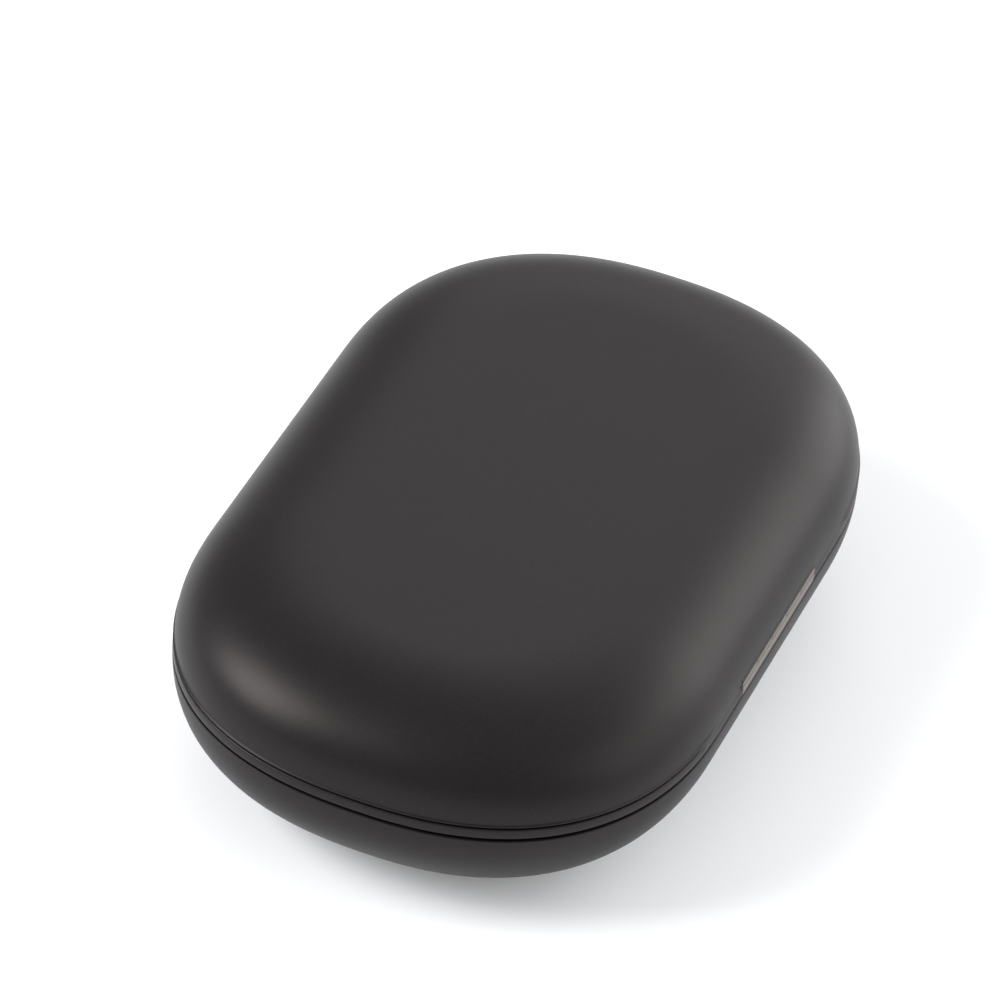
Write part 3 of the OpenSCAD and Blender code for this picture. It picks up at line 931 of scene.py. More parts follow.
@dataclass
class Shells:
    """The lid and base shells and the mid frame between them."""

    palette: Palette
    lid: DomedShell
    base: DomedShell
    overshoot: float = 1.0
    cut_depth: float = 3.0

    def build(self) -> None:
        """Builds the three pieces."""
        lid = self.lid.surface(SIZE.seam_z, 1)
        self.palette.piece("lid_cover", lid, "lid", Slot.SHELL, "lid_shell")
        base = self.base.surface(SIZE.base_h, -1).mesh("base_blank")
        base = cut_from(base, [self.socket_hole(), self.light_hole()])
        self.palette.piece("base_cover", base, "base", Slot.SHELL, "base_shell")
        frame_parts = join(self.band(), *self.hinge_seat(), *self.tabs())
        self.palette.piece("middle_band", frame_parts, "base", Slot.FRAME, "mid_frame")

    def socket_hole(self) -> bpy.types.Mesh:
        """Slot through the hinge side, a little larger than the socket.

        Returns:
            The mesh to cut away.
        """
        lo, hi = node_box("socket_shell")
        shape = stadium(hi[0] - lo[0] + 0.4, hi[2] - lo[2] + 0.3)
        ys = (-SIZE.half_wid - self.overshoot, lo[1] + self.cut_depth)
        return self.bar_along_y(shape, (lo[2] + hi[2]) / 2, ys).mesh("socket_hole")

    def light_hole(self) -> bpy.types.Mesh:
        """Round hole through the opening side for the status light.

        Returns:
            The mesh to cut away.
        """
        lo, hi = node_box("light_pipe")
        shape = stadium(hi[0] - lo[0] + 0.08, hi[2] - lo[2] + 0.08)
        ys = (hi[1] - self.cut_depth, SIZE.half_wid + self.overshoot)
        return self.bar_along_y(shape, (lo[2] + hi[2]) / 2, ys).mesh("light_hole")

    @staticmethod
    def bar_along_y(shape: np.ndarray, z: float, ys: tuple[float, float]) -> Faces:
        """Solid bar along Y.

        Args:
            shape: Its section's x and z points, about its middle.
            z: Height of its middle.
            ys: Where it starts and ends.

        Returns:
            Its surface.
        """
        rows = [np.stack([shape[:, 0], np.full(len(shape), y), shape[:, 1] + z], -1) for y in ys]
        bar = Faces()
        bar.add_grid(np.stack(rows))
        order = np.arange(len(shape))[None, :]
        bar.add(rows[0], order)
        bar.add(rows[1], order[:, ::-1])
        return bar

    def band(self) -> Faces:
        """The frame's rim, skirt and ledge: one closed section carried round the outline.

        On the hinge side the top edge is bevelled, and a seat is let in for the knuckles and the plate
        below them.

        Returns:
            Its surface.
        """
        deck_lo = deck_heights()[1]
        skirt_lo = node_box("mid_frame")[0][2]
        inner = self.base.dome.inner(self.base.wall)
        skirt_in = float(inner.inset(SIZE.base_h - skirt_lo)) + self.base.wall + MOULD.fit
        lo, hi, rim, r = SIZE.band_lo, SIZE.band_hi, MOULD.rim, 0.15
        ledge, ledge_lo = rim + MOULD.ledge, deck_lo - MOULD.ledge
        angle = np.linspace(0, math.pi / 2, 5)
        section = np.array([
            (skirt_in, lo),
            *zip(r * (1 - np.sin(angle)), lo + r * (1 - np.cos(angle))),
            *zip(r * (1 - np.cos(angle)), hi - r * (1 - np.sin(angle))),
            *zip(rim - r * (1 - np.sin(angle)), hi - r * (1 - np.cos(angle))),
            (rim, deck_lo),
            (ledge, deck_lo),
            (ledge, ledge_lo),
            (rim, ledge_lo),
            (rim, skirt_lo),
            (skirt_in, skirt_lo),
        ])
        outline = Outline.with_hinge()
        flat = outline.rings(section[:, 0])
        z = np.repeat(section[:, 1:], flat.shape[1], 1)
        seat = outline.at_hinge()
        z[:, seat] = np.minimum(z[:, seat], SIZE.seam_z - SIZE.knuckle_r - 0.03)
        limit = SIZE.knuckle_r + MOULD.seam_bevel - (SIZE.seam_z - z) - SIZE.half_wid
        limit[:, seat] = np.maximum(limit[:, seat], Hinge.face_depth + 0.02 - SIZE.half_wid)
        flat[..., 1] = np.maximum(flat[..., 1], limit)
        band = Faces()
        band.add_grid(with_z(flat, z), wrap_u=True)
        return band

    def hinge_seat(self) -> list[Faces]:
        """Block behind the rim that carries the hinge leaf: a floor with a raised wall on three sides.

        Returns:
            Its floor and its three walls.
        """
        leaf_lo, leaf_hi = node_box("hinge_base_leaf")
        inner = SIZE.hinge_half + MOULD.hinge_clear
        half = inner + 1.2
        end, back = leaf_hi[1] + 0.6, -SIZE.half_wid + MOULD.rim - MOULD.fit
        low, top, edge = SIZE.band_lo - 1.5, SIZE.band_hi, 0.08
        return [
            rounded_box((-half, back, low), (half, end, leaf_lo[2]), edge),
            rounded_box((-half, back, low), (-inner, end, top), edge),
            rounded_box((inner, back, low), (half, end, top), edge),
            rounded_box((-half, leaf_hi[1] + 0.12, low), (half, end, top), edge),
        ]

    def tabs(self) -> list[Faces]:
        """Four tabs under the frame that its screws hold down.

        Returns:
            The tabs.
        """
        screw_hi = node_box("frame_screws")[1]
        x, y = screw_hi[0] - MOULD.frame_screw_r, screw_hi[1] - MOULD.frame_screw_r
        z = node_box("mid_frame")[0][2]
        half, inward, outward, thick = 2.4, 2.2, 4.5, 0.8
        tabs = []
        for x_side in (-x, x):
            for side in (-1, 1):
                ys = sorted((side * (y - inward), side * (y + outward)))
                tabs.append(
                    rounded_box((x_side - half, ys[0], z), (x_side + half, ys[1], z + thick), 0.1)
                )
        return tabs


# ---------------------------------------------------------------------------------------------
# Cradle and lid liner
# ---------------------------------------------------------------------------------------------


@dataclass(frozen=True)
class PocketPlan:
    """Plan of the earbud pocket at the +X end, from the places of the charging pins and the tray."""

    x: float
    well_y: float
    pin_y: tuple[float, float]
    half_x: float
    half_y: float
    bowl_z: float = 8.4
    well_z: float = 5.0
    tip_z: float = 6.0
    well_r: float = 8.2
    tip_r: float = 3.6
    tip_room: float = 2.6

    @classmethod
    def from_frame(cls) -> "PocketPlan":
        """Reads the plan from the box of the charging pins.

        Returns:
            The plan.
        """
        lo, hi = node_box("right_pogo_pins")
        x, well_y = ((lo + hi) / 2)[:2]
        return cls(
            x=x,
            well_y=well_y,
            pin_y=(lo[1] + MOULD.plunger_r, hi[1] - MOULD.plunger_r),
            half_x=x - MOULD.half_bay - MOULD.cup_wall,
            half_y=SIZE.half_wid - MOULD.pocket_room - MOULD.cup_wall,
        )

    def mirrored(self) -> "PocketPlan":
        """The plan at the other end."""
        return replace(self, x=-self.x)

    @property
    def bowl(self) -> Loop:
        """Outline of the pocket."""
        return Loop(self.x, 0, self.half_x, self.half_y, 2.5, 192)

    @property
    def well(self) -> Loop:
        """Outline of the round well."""
        return Loop(self.x, self.well_y, self.well_r, self.well_r)

    @property
    def tip(self) -> Loop:
        """Outline of the ear tip's well."""
        inward = math.copysign(self.half_x - self.tip_r - self.tip_room, self.x)
        return Loop(self.x - inward, self.half_y - self.tip_r - self.tip_room, self.tip_r, self.tip_r)

    @property
    def pins(self) -> list[Loop]:
        """Outlines of the two holes for the charging pins."""
        return [Loop(self.x, y, MOULD.barrel_r, MOULD.barrel_r, points=40) for y in self.pin_y]


@dataclass
class Cradle:
    """The tray that holds the earbuds, and the liner above it in the lid."""

    palette: Palette
    plan: PocketPlan = field(default_factory=PocketPlan.from_frame)
    bowl_lip: float = 0.6
    recess_short: float = 3.0

    def build(self) -> None:
        """Builds the two pieces."""
        self.palette.piece("earbud_cradle", self.tray(), "base", Slot.CRADLE, "cradle_tray")
        self.palette.piece("lid_lining", self.liner(), "lid", Slot.CRADLE, "lid_liner")

    @staticmethod
    def plate_edge(inset: float, face: float, back: float) -> np.ndarray:
        """Outer edge of a plate, softened at its face and carried round the case's outline.

        Args:
            inset: Inset of the edge.
            face: Height of the face.
            back: Height of the back.

        Returns:
            Grid of rows by columns by x, y and z.
        """
        across = np.array([0.3, 0.2, 0.06, 0, 0])
        down = np.array([0, 0, 0.06, 0.2, abs(back - face)])
        heights = face + math.copysign(1, back - face) * down
        return with_z(Outline().rings(inset + across), heights[:, None])

    def tray(self) -> bpy.types.Mesh:
        """Deck with two moulded pockets, the button's hole and the gap for the hinge.

        Returns:
            Its mesh.
        """
        top, low = deck_heights()
        button_lo, button_hi = node_box("pairing_button")
        hole_r = MOULD.button_r + MOULD.button_fit
        hole = Loop(0, float(button_lo[1] + button_hi[1]) / 2, hole_r, hole_r, points=96)
        rim = self.plate_edge(MOULD.rim + MOULD.fit, top, low)
        tray = Faces()
        tray.add_grid(rim, flip=True)
        parts, top_holes, low_holes = [], [hole.at(-0.26)], [hole.at()]
        for plan in (self.plan, self.plan.mirrored()):
            parts += self.pocket(plan, top, low)
            top_holes.append(plan.bowl.at(-self.bowl_lip - FLAT_MARGIN))
            low_holes.append(plan.bowl.at(-MOULD.cup_wall))
        tray.add_flat(rim[0, :, :2], top_holes, top, True)
        tray.add_flat(rim[-1, :, :2], low_holes, low, False)
        hole_rows = [(-0.26, top), (-0.2, top), (-0.06, top - 0.06), (0, top - 0.2), (0, low)]
        leaf_end = node_box("hinge_base_leaf")[1][1]
        gap_half = SIZE.hinge_half + 1.36
        gap = rounded_box(
            (-gap_half, -SIZE.half_wid - 1, low - 1), (gap_half, leaf_end + 0.7, top + 1), 0.3
        )
        blank = join(tray, wall(hole, hole_rows), *parts).mesh("tray_blank")
        return cut_from(blank, [gap.mesh("tray_gap")])

    def pocket(self, plan: PocketPlan, top: float, low: float) -> list[Faces]:
        """One pocket: bowl, round well and tip well above, and the outside of its cup below.

        Args:
            plan: Where its parts are.
            top: Height of the deck.
            low: Height of the deck's underside.

        Returns:
            The surfaces.
        """
        bowl_rows = wall_profile(top, plan.bowl_z, self.bowl_lip, 1.1)
        well_rows = wall_profile(plan.bowl_z, plan.well_z, 0.5, 1.4)
        tip_rows = wall_profile(plan.bowl_z, plan.tip_z, 0.35, 0.9)
        bowl_foot, well_foot, tip_foot = (rows[-1][0] for rows in (bowl_rows, well_rows, tip_rows))
        well_lip, tip_lip = (rows[0][0] for rows in (well_rows, tip_rows))
        cup = -MOULD.cup_wall
        bowl_lo, well_lo = plan.bowl_z + cup, plan.well_z + cup
        under = Pair(plan.well, plan.tip)
        pin_holes = [pin.at() for pin in plan.pins]
        flats = Faces()
        bowl_holes = [plan.well.at(well_lip), plan.tip.at(tip_lip)]
        flats.add_flat(plan.bowl.at(bowl_foot), bowl_holes, plan.bowl_z, True)
        flats.add_flat(plan.well.at(well_foot), pin_holes, plan.well_z, True)
        flats.add_flat(plan.tip.at(tip_foot), [], plan.tip_z, True)
        flats.add_flat(plan.bowl.at(cup), [under.at(cup)], bowl_lo, False)
        flats.add_flat(under.at(cup), pin_holes, well_lo, False)
        return [
            flats,
            wall(plan.bowl, bowl_rows),
            wall(plan.well, well_rows),
            wall(plan.tip, tip_rows),
            wall(plan.bowl, [(cup, low), (cup, bowl_lo)], outside=True),
            wall(under, [(cup, bowl_lo), (cup, well_lo)], outside=True),
            *[wall(pin, [(0, plan.well_z), (0, well_lo)]) for pin in plan.pins],
        ]

    def liner(self) -> bpy.types.Mesh:
        """Plate with two domed recesses over the earbuds and the seat for the lid's hinge leaf.

        Returns:
            Its mesh.
        """
        lo, hi = node_box("lid_liner")
        low, high, top = lo[2], lo[2] + MOULD.liner_t, hi[2]
        rim = self.plate_edge(SIZE.half_len - hi[0], low, high)
        liner = Faces()
        liner.add_grid(rim)
        half = self.recess_half()
        cup = -MOULD.cup_wall
        dome = self.dome_rows(low, top + cup, half)
        shell = [(cup, high), (cup, top - 2.2), (-0.6, top - 0.9), (0.4, top - 0.2), (1.4, top)]
        parts, low_holes, high_holes = [], [], []
        for x in (self.plan.x, -self.plan.x):
            recess = Loop(x, 0, half, self.plan.half_y + MOULD.cup_wall - self.recess_short, 2.5, 192)
            caps = Faces()
            for (inset, z), up in ((dome[-1], False), (shell[-1], True)):
                caps.add_cap(with_z(recess.at(inset), z), up=up)
            parts += [wall(recess, dome), wall(recess, shell, outside=True), caps]
            low_holes.append(recess.at(dome[0][0]))
            high_holes.append(recess.at(cup))
        liner.add_flat(rim[0, :, :2], low_holes, low, False)
        liner.add_flat(rim[-1, :, :2], high_holes, high, True)
        leaf = node_box("hinge_lid_leaf")[1]
        seat_half = SIZE.hinge_half + MOULD.hinge_clear
        seat = rounded_box(
            (-seat_half, -SIZE.half_wid, low - 1), (seat_half, leaf[1] + 0.1, leaf[2] + 0.01), 0.02
        )
        return cut_from(join(liner, *parts).mesh("liner_blank"), [seat.mesh("leaf_seat")])

    @staticmethod
    def recess_half() -> float:
        """Half length of a recess along the case, from the room that the record states inside it.

        Returns:
            The half length.
        """
        openings = {o["name"]: o["box_m"] for o in frame["record"]["physics"]["openings"]}
        low, high = openings["right_lid_recess"]
        around_room = 2.28
        return (high[0] - low[0]) / MM / 2 + around_room

    @staticmethod
    def dome_rows(low: float, high: float, half: float) -> list[tuple[float, float]]:
        """Rows of a recess: rounded lip, straight wall and a shallow domed ceiling.

        The ceiling is a squared ellipse of exponent 3: height against inset.

        Args:
            low: Height of the lip.
            high: Height of the ceiling's middle.
            half: Half length of the recess.

        Returns:
            The inset and the height of each row.
        """
        lip_rows, wall_h, middle, power = 8, 0.9, 0.4, 2 / 3
        lips = wall_profile(low, high, 0.5, 0.3)[:lip_rows]
        q = np.linspace(0.12, math.pi / 2 - 0.02, 22)
        inset = (half - middle) * (1 - np.cos(q) ** power)
        z = low + wall_h + (high - low - wall_h) * np.sin(q) ** power
        return [*lips, *zip(inset.tolist(), z.tolist())]


# ---------------------------------------------------------------------------------------------
# Hinge, socket, pins and button
# ---------------------------------------------------------------------------------------------


class Axis(Enum):
    """Axis that a profile is turned about, as the order in which its grid's coordinates are taken."""

    X = (2, 0, 1)
    Y = (1, 2, 0)
    Z = (0, 1, 2)


def turned(
    profile: list[tuple[float, float]],
    centre: tuple[float, float, float],
    axis: Axis = Axis.Z,
    points: int = 32,
    closed: bool = False,
) -> Faces:
    """Profile of radius and height turned about an axis.

    Args:
        profile: Radius and height of each row.
        centre: Where the axis passes, in millimetres.
        axis: The axis.
        points: Steps round the axis.
        closed: Whether the last row joins the first, as on a ring.

    Returns:
        Its surface.
    """
    grid = lathe(profile, points)[..., list(axis.value)]
    part = Faces()
    part.add_grid(grid + np.array(centre), wrap_u=closed)
    return part


@dataclass
class Hinge:
    """Two leaves with five knuckles on a pin, and the screws that hold them."""

    palette: Palette
    knuckles: int = 5
    gap: float = 0.08
    pin_r: float = 0.2
    pin_fit: float = 0.03
    face_depth: float = 0.3

    def build(self) -> None:
        """Builds both leaves, the plate below the knuckles and the screws."""
        self.palette.piece("hinge_face_plate", self.face(), "base", Slot.HINGE)
        for body, place, first in (("base", "lower", 0), ("lid", "upper", 1)):
            node = f"hinge_{body}_leaf"
            self.palette.piece(f"hinge_leaf_{place}", self.leaf(first, node), body, Slot.HINGE, node)
        for body, place, up in (("base", "lower", 1), ("lid", "upper", -1)):
            node = f"{body}_leaf_screws"
            self.palette.piece(f"{place}_leaf_screws", self.screws(node, up), body, Slot.SCREW, node)

    def face(self) -> Faces:
        """Thin plate let in flush over the frame's rim, from the lower seam up to the knuckles.

        Returns:
            Its surface.
        """
        half = SIZE.hinge_half
        top = SIZE.seam_z - SIZE.knuckle_r - 0.02
        outer = -SIZE.half_wid
        return rounded_box((-half, outer, SIZE.band_lo), (half, outer + self.face_depth, top), 0.05)

    def leaf(self, first: int, node: str) -> Faces:
        """One leaf: its plate, and every second knuckle from the first given.

        Args:
            first: Number of its first knuckle.
            node: CAD node that it stands for.

        Returns:
            Its surface.
        """
        lo, hi = node_box(node)
        upper = first == 1
        t = SIZE.knuckle_r / 2 + 0.02
        z = hi[2] - t if upper else lo[2]
        length = 2 * SIZE.hinge_half
        width = (length - (self.knuckles - 1) * self.gap) / self.knuckles
        plate_y = SIZE.pivot_y + SIZE.knuckle_r + 0.1
        parts = [rounded_box((-length / 2, plate_y, z), (length / 2, hi[1], z + t), 0.05)]
        rows = self.knuckle(width, self.pin_r + (self.pin_fit if upper else 0.0))
        for i in range(first, self.knuckles, 2):
            x = -length / 2 + i * (width + self.gap)
            parts.append(turned(rows, (x, SIZE.pivot_y, SIZE.pivot_z), Axis.X, 40, closed=True))
            tab = ((x, SIZE.pivot_y + 0.24, z), (x + width, plate_y + 0.1, z + t))
            parts.append(rounded_box(*tab, 0.03))
        return join(*parts)

    @staticmethod
    def knuckle(width: float, bore: float) -> list[tuple[float, float]]:
        """Section of a knuckle: a tube with its outer corners rounded.

        Args:
            width: Its length along the pin.
            bore: Radius of its bore.

        Returns:
            The radius and the height of each row.
        """
        r, c = SIZE.knuckle_r, 0.05
        angle = np.linspace(0, math.pi / 2, 4)
        left = [(r - c * (1 - math.sin(t)), c * (1 - math.cos(t))) for t in angle]
        right = [(r - c * (1 - math.cos(t)), width - c * (1 - math.sin(t))) for t in angle]
        return [(bore, 0), *left, *right, (bore, width)]

    @staticmethod
    def screws(node: str, up: int) -> Faces:
        """Two low-headed screws with a six-lobed recess in each head.

        Args:
            node: CAD node that they stand for.
            up: 1 when the heads look up, -1 when they look down.

        Returns:
            Their surface.
        """
        lo, hi = node_box(node)
        head_r = MOULD.screw_head_r
        x, y = hi[0] - head_r, (lo[1] + hi[1]) / 2
        head = hi[2] if up > 0 else lo[2]
        length = hi[2] - lo[2]
        rows = [
            (NEAR_AXIS, 0.16),
            (0.36, 0.16),
            (0.42, 0.02),
            (0.5, 0.0),
            (0.86, 0.0),
            (0.97, 0.05),
            (head_r, 0.12),
            (head_r, 0.22),
            (0.5, 0.22),
            (0.5, length - 0.3),
            (0.3, length),
            (NEAR_AXIS, length),
        ]
        points, lobes, lobe_depth = 48, 6, 0.12
        grid = lathe([(r, head - up * drop) for r, drop in rows], points)
        angle = np.arange(points) * 2 * math.pi / points
        grid[1:3, :, :2] *= (1 + lobe_depth * np.cos(lobes * angle))[None, :, None]
        both = Faces()
        for side in (x, -x):
            both.add_grid(grid + np.array([side, y, 0]), flip=up < 0)
        return both


@dataclass
class SmallParts:
    """The charging socket, the light window, the charging pins with their barrels and the button."""

    palette: Palette

    def build(self) -> None:
        """Builds every piece."""
        add = self.palette.piece
        add("charging_socket", self.socket(), "base", Slot.SOCKET, "socket_shell")
        add("socket_blade", self.tongue(), "base", Slot.CHIP, "socket_tongue")
        add("socket_contacts", self.contacts(), "base", Slot.GOLD)
        add("light_window", self.window(), "base", Slot.PIPE, "light_pipe")
        add("pin_barrels", self.barrels(), "base", Slot.GOLD, "pogo_barrels")
        for side in ("left", "right"):
            add(f"{side}_charging_pins", self.pins(f"{side}_pogo_pins"), f"{side}_pins", Slot.GOLD,
                f"{side}_pogo_pins")
        add("pairing_key", self.button(), "button", Slot.BUTTON, "pairing_button")

    @staticmethod
    def socket() -> Faces:
        """Stamped shell with a rolled mouth: a slot-shaped section carried along Y, closed at the back.

        Returns:
            Its surface.
        """
        lo, hi = node_box("socket_shell")
        width, height, z = hi[0] - lo[0], hi[2] - lo[2], (lo[2] + hi[2]) / 2
        mouth, wall_t, depth = lo[1], 0.3, 6.6
        rows = [
            (0, hi[1]),
            (0, mouth + 0.2),
            (0.06, mouth + 0.05),
            (wall_t / 2, mouth),
            (wall_t - 0.06, mouth + 0.05),
            (wall_t, mouth + 0.2),
            (wall_t, mouth + depth),
        ]
        grid = np.stack([
            np.insert(stadium(width - 2 * inset, height - 2 * inset), 1, y, 1) + np.array([0, 0, z])
            for inset, y in rows
        ])
        shell = Faces()
        shell.add_grid(grid)
        order = np.arange(grid.shape[1])[None, :]
        shell.add(grid[0], order[:, ::-1])
        shell.add(grid[-1], order)
        return shell

    @staticmethod
    def tongue() -> Faces:
        """Thin blade in the middle of the socket."""
        lo, hi = node_box("socket_tongue")
        return rounded_box(lo, hi, 0.12)

    @staticmethod
    def contacts() -> Faces:
        """Rows of flat contacts on both faces of the blade.

        Returns:
            Their surface.
        """
        lo, hi = node_box("socket_tongue")
        row_half, count, half, t = 2.75, 12, 0.13, 0.02
        return join(*[
            rounded_box((x - half, lo[1] + 0.5, z - t), (x + half, hi[1] - 0.8, z + t), 0.01)
            for x in np.linspace(-row_half, row_half, count)
            for z in (lo[2], hi[2])
        ])

    @staticmethod
    def window() -> Faces:
        """Short clear rod with a domed front.

        Returns:
            Its surface.
        """
        lo, hi = node_box("light_pipe")
        r, front = (hi[0] - lo[0]) / 2, hi[1]
        rows = [
            (NEAR_AXIS, lo[1]),
            (r, lo[1]),
            (r, front - 0.16),
            (r - 0.05, front - 0.07),
            (r * 0.6, front - 0.01),
            (NEAR_AXIS, front),
        ]
        return turned(rows, (0, 0, (lo[2] + hi[2]) / 2), Axis.Y)

    @staticmethod
    def barrels() -> Faces:
        """Four gold sleeves, open at the top.

        Returns:
            Their surface.
        """
        lo, hi = node_box("pogo_barrels")
        plan = PocketPlan.from_frame()
        low, top, r, bore = lo[2], hi[2], MOULD.barrel_r, 0.55
        rows = [
            (NEAR_AXIS, low),
            (r, low),
            (r, top - 0.08),
            (r - 0.08, top),
            (bore + 0.06, top),
            (bore, top - 0.06),
            (bore, low + 0.2),
            (NEAR_AXIS, low + 0.2),
        ]
        return join(*[turned(rows, (x, y, 0)) for x in (plan.x, -plan.x) for y in plan.pin_y])

    @staticmethod
    def pins(node: str) -> Faces:
        """Two plungers with rounded crowns.

        Args:
            node: CAD node that they stand for.

        Returns:
            Their surface.
        """
        lo, hi = node_box(node)
        r, crown_r = MOULD.plunger_r, 0.3
        angle = np.linspace(0, math.pi / 2, 6)
        crown = [(r - crown_r * (1 - math.cos(t)), hi[2] - crown_r * (1 - math.sin(t))) for t in angle]
        rows = [(NEAR_AXIS, lo[2]), (r - 0.04, lo[2]), (r, lo[2] + 0.05), *crown, (NEAR_AXIS, hi[2])]
        x = (lo[0] + hi[0]) / 2
        return join(*[turned(rows, (x, y, 0)) for y in (lo[1] + r, hi[1] - r)])

    @staticmethod
    def button() -> Faces:
        """Round key with a soft edge and a shallow dished top, on a wider flange.

        Returns:
            Its surface.
        """
        lo, hi = node_box("pairing_button")
        low, top = lo[2], hi[2]
        r, flange_r, edge_r, dish_r, dish_depth = MOULD.button_r, MOULD.button_r + 1, 0.22, 2.6, 0.1
        flange = deck_heights()[1] - 0.02
        angle = np.linspace(0, math.pi / 2, 6)
        edge = [(r - edge_r * (1 - math.cos(t)), top - edge_r * (1 - math.sin(t))) for t in angle]
        dish = [(dish_r * share, top - dish_depth * (1 - share**2)) for share in np.linspace(1, 0.001, 9)]
        rows = [
            (NEAR_AXIS, low),
            (flange_r - 0.1, low),
            (flange_r, low + 0.1),
            (flange_r, flange - 0.1),
            (flange_r - 0.1, flange),
            (r, flange),
            *edge,
            *dish,
        ]
        return turned(rows, (0, float(lo[1] + hi[1]) / 2, 0), points=96)


@dataclass
class Insides:
    """The CAD nodes that stay as they are, each dressed with its finish."""

    palette: Palette
    slots: tuple[tuple[str, Slot], ...] = (
        ("base_magnets", Slot.NICKEL), ("bud_magnets", Slot.NICKEL), ("lid_magnets", Slot.NICKEL),
        ("sense_magnet", Slot.NICKEL), ("hinge_pin", Slot.PIN), ("frame_screws", Slot.SCREW),
        ("battery", Slot.CELL), ("battery_pad", Slot.FOAM), ("battery_connector", Slot.CONNECTOR),
        ("main_board", Slot.BOARD), ("board_chips", Slot.CHIP), ("top_board", Slot.BOARD),
        ("tact_switch", Slot.NICKEL), ("hall_sensor", Slot.CHIP), ("status_led", Slot.LED),
        ("board_link", Slot.FLEX), ("contact_boards", Slot.BOARD),
    )

    def dress(self) -> None:
        """Gives every node its material."""
        for node, slot in self.slots:
            mesh = frame["nodes"][node].data
            mesh.materials.clear()
            mesh.materials.append(self.palette.materials[slot])


# ---------------------------------------------------------------------------------------------
# Studio
# ---------------------------------------------------------------------------------------------


@dataclass(frozen=True)
class SoftBox:
    """A square studio light that looks at the case."""

    name: str
    place: tuple[float, float, float]
    size: float
    power: float

    def build(self) -> bpy.types.Object:
        """Puts the light in the scene.

        Returns:
            The light.
        """
        data = bpy.data.lights.new(self.name, "AREA")
        data.shape = "SQUARE"
        data.size = self.size
        data.energy = self.power
        light = bpy.data.objects.new(self.name, data)
        light.location = self.place
        light.rotation_euler = (-Vector(self.place)).to_track_quat("-Z", "Y").to_euler()
        bpy.context.scene.collection.objects.link(light)
        return light


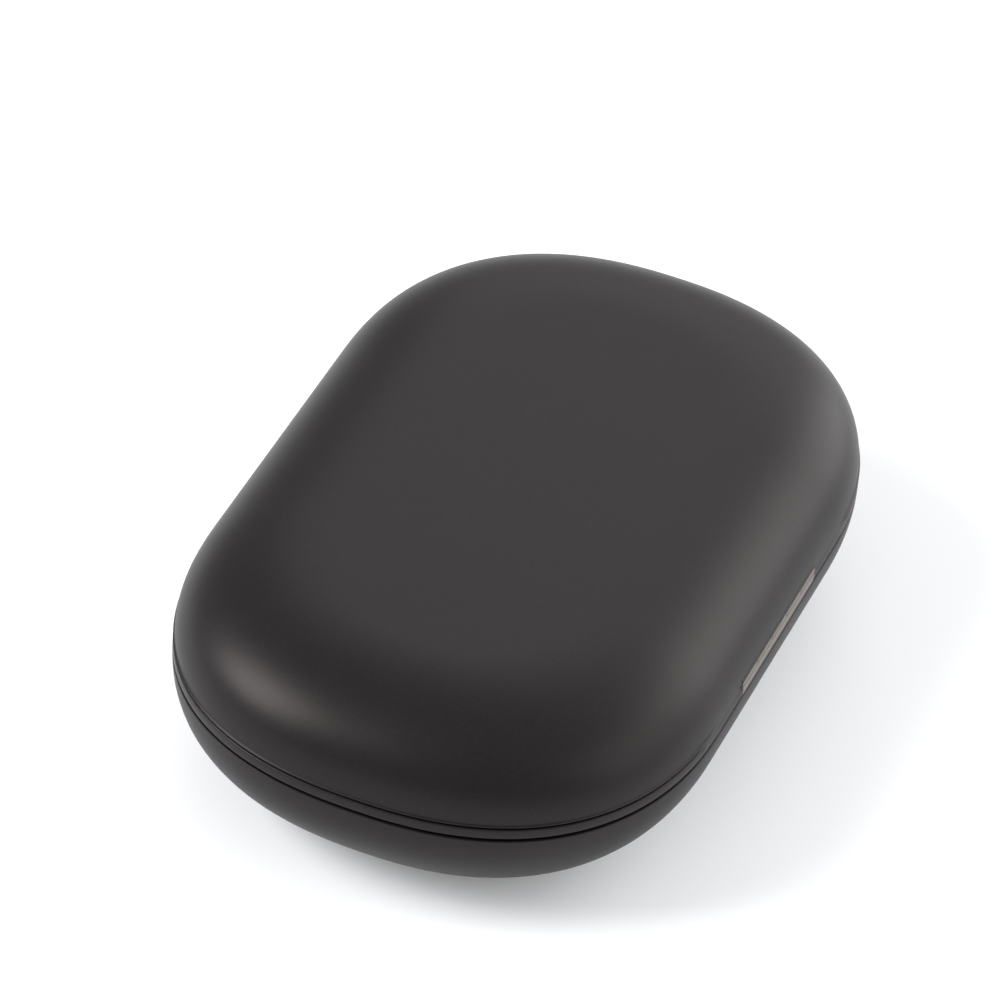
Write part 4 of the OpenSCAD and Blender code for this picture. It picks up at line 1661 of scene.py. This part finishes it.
@dataclass
class Studio:
    """Pale floor, soft lights and the camera."""

    azimuth: float = math.radians(-69.985)
    elevation: float = math.radians(40.503)
    roll: float = math.radians(4.962)
    distance: float = 0.64764
    lens: float = 246.1
    aim: tuple[float, float] = (-0.00253, 0.003825)
    bright_side: tuple[float, float, float] = (0.3, -0.8, 0.55)
    world_dim: float = 0.42
    world_bright: float = 0.75
    floor_half: float = 4.0
    floor_glow: float = 0.13
    floor_tone: tuple[float, float, float] = (0.82, 0.83, 0.845)
    boxes: tuple[SoftBox, ...] = (
        SoftBox("key_light", (-0.5, 0.95, 0.8), 0.7, 22.0),
        SoftBox("side_light", (1.0, -0.6, 0.45), 0.9, 11.0),
        SoftBox("front_side_light", (0.15, -1.0, 0.5), 0.9, 4.6),
        SoftBox("back_light", (1.1, 0.3, 0.8), 0.8, 3.4),
    )

    def build(self) -> None:
        """Builds the floor, the light and the camera."""
        self.floor()
        self.world()
        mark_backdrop(*[box.build() for box in self.boxes])
        self.camera()

    def floor(self) -> None:
        """Wide flat floor under the case."""
        mesh = bpy.data.meshes.new("floor")
        s = self.floor_half
        mesh.from_pydata([(-s, -s, 0), (s, -s, 0), (s, s, 0), (-s, s, 0)], [], [(0, 1, 2, 3)])
        mat = bpy.data.materials.new("floor")
        mat.use_nodes = True
        shader = mat.node_tree.nodes["Principled BSDF"]
        shader.inputs["Base Color"].default_value = (*self.floor_tone, 1)
        shader.inputs["Roughness"].default_value = 0.9
        shader.inputs["Specular IOR Level"].default_value = 0.1
        shader.inputs["Emission Color"].default_value = (1, 1, 1, 1)
        shader.inputs["Emission Strength"].default_value = self.floor_glow
        mesh.materials.append(mat)
        floor = bpy.data.objects.new("floor", mesh)
        bpy.context.scene.collection.objects.link(floor)
        floor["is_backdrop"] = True

    def world(self) -> None:
        """White light from all round, which rises smoothly towards its bright side."""
        world = bpy.data.worlds.new("studio")
        world.use_nodes = True
        nodes, links = world.node_tree.nodes, world.node_tree.links
        sky = nodes["Background"]
        sky.inputs["Color"].default_value = (1, 1, 1, 1)
        along = nodes.new("ShaderNodeVectorMath")
        along.operation = "DOT_PRODUCT"
        along.inputs[1].default_value = Vector(self.bright_side).normalized()
        links.new(nodes.new("ShaderNodeTexCoord").outputs["Generated"], along.inputs[0])
        step = nodes.new("ShaderNodeMapRange")
        step.interpolation_type = "SMOOTHSTEP"
        step.inputs["From Min"].default_value = 0.05
        step.inputs["From Max"].default_value = 0.9
        step.inputs["To Min"].default_value = self.world_dim
        step.inputs["To Max"].default_value = self.world_bright
        links.new(along.outputs["Value"], step.inputs["Value"])
        links.new(step.outputs["Result"], sky.inputs["Strength"])
        bpy.context.scene.world = world
        bpy.context.scene.view_settings.view_transform = "Standard"

    def camera(self) -> None:
        """Camera above the case's near end, with a long lens and a slight roll."""
        az, el, roll = self.azimuth, self.elevation, self.roll
        back = Vector((math.sin(az) * math.cos(el), -math.cos(az) * math.cos(el), math.sin(el)))
        right = Vector((math.cos(az), math.sin(az), 0))
        up = back.cross(right)
        target = Vector((0, 0, SIZE.seam_z * MM)) + right * self.aim[0] + up * self.aim[1]
        x_axis = right * math.cos(roll) + up * math.sin(roll)
        y_axis = up * math.cos(roll) - right * math.sin(roll)
        place = Matrix((x_axis, y_axis, back)).transposed().to_4x4()
        place.translation = target + back * self.distance
        data = bpy.data.cameras.new("camera")
        data.lens, data.sensor_width = self.lens, 36
        camera = bpy.data.objects.new("camera", data)
        camera.matrix_world = place
        bpy.context.scene.collection.objects.link(camera)
        bpy.context.scene.camera = camera


def main() -> None:
    """Builds the case and its studio."""
    logging.basicConfig(level=logging.INFO, format="%(message)s")
    palette = Palette()
    palette.build()
    lid = DomedShell(
        Dome(SIZE.top - SIZE.seam_z, MOULD.lid_run, MOULD.lid_exp),
        bevel=SIZE.knuckle_r + MOULD.seam_bevel,
        lip=0.12,
        notch_rise=node_box("hinge_lid_leaf")[1][2] + 0.03 - SIZE.seam_z,
    )
    base = DomedShell(Dome(SIZE.base_h, MOULD.base_run, MOULD.base_exp), edge_r=0.12, set_back=0.13)
    Shells(palette, lid, base).build()
    Cradle(palette).build()
    Hinge(palette).build()
    SmallParts(palette).build()
    Insides(palette).dress()
    Studio().build()
    after_lo, after_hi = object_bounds()
    sizes = {"cad": [list(cad_lo), list(cad_hi)], "finished": [list(after_lo), list(after_hi)]}
    for name, corners in sizes.items():
        LOG.info("%s: from %s to %s", name, *corners)


if __name__ == "__main__":
    main()
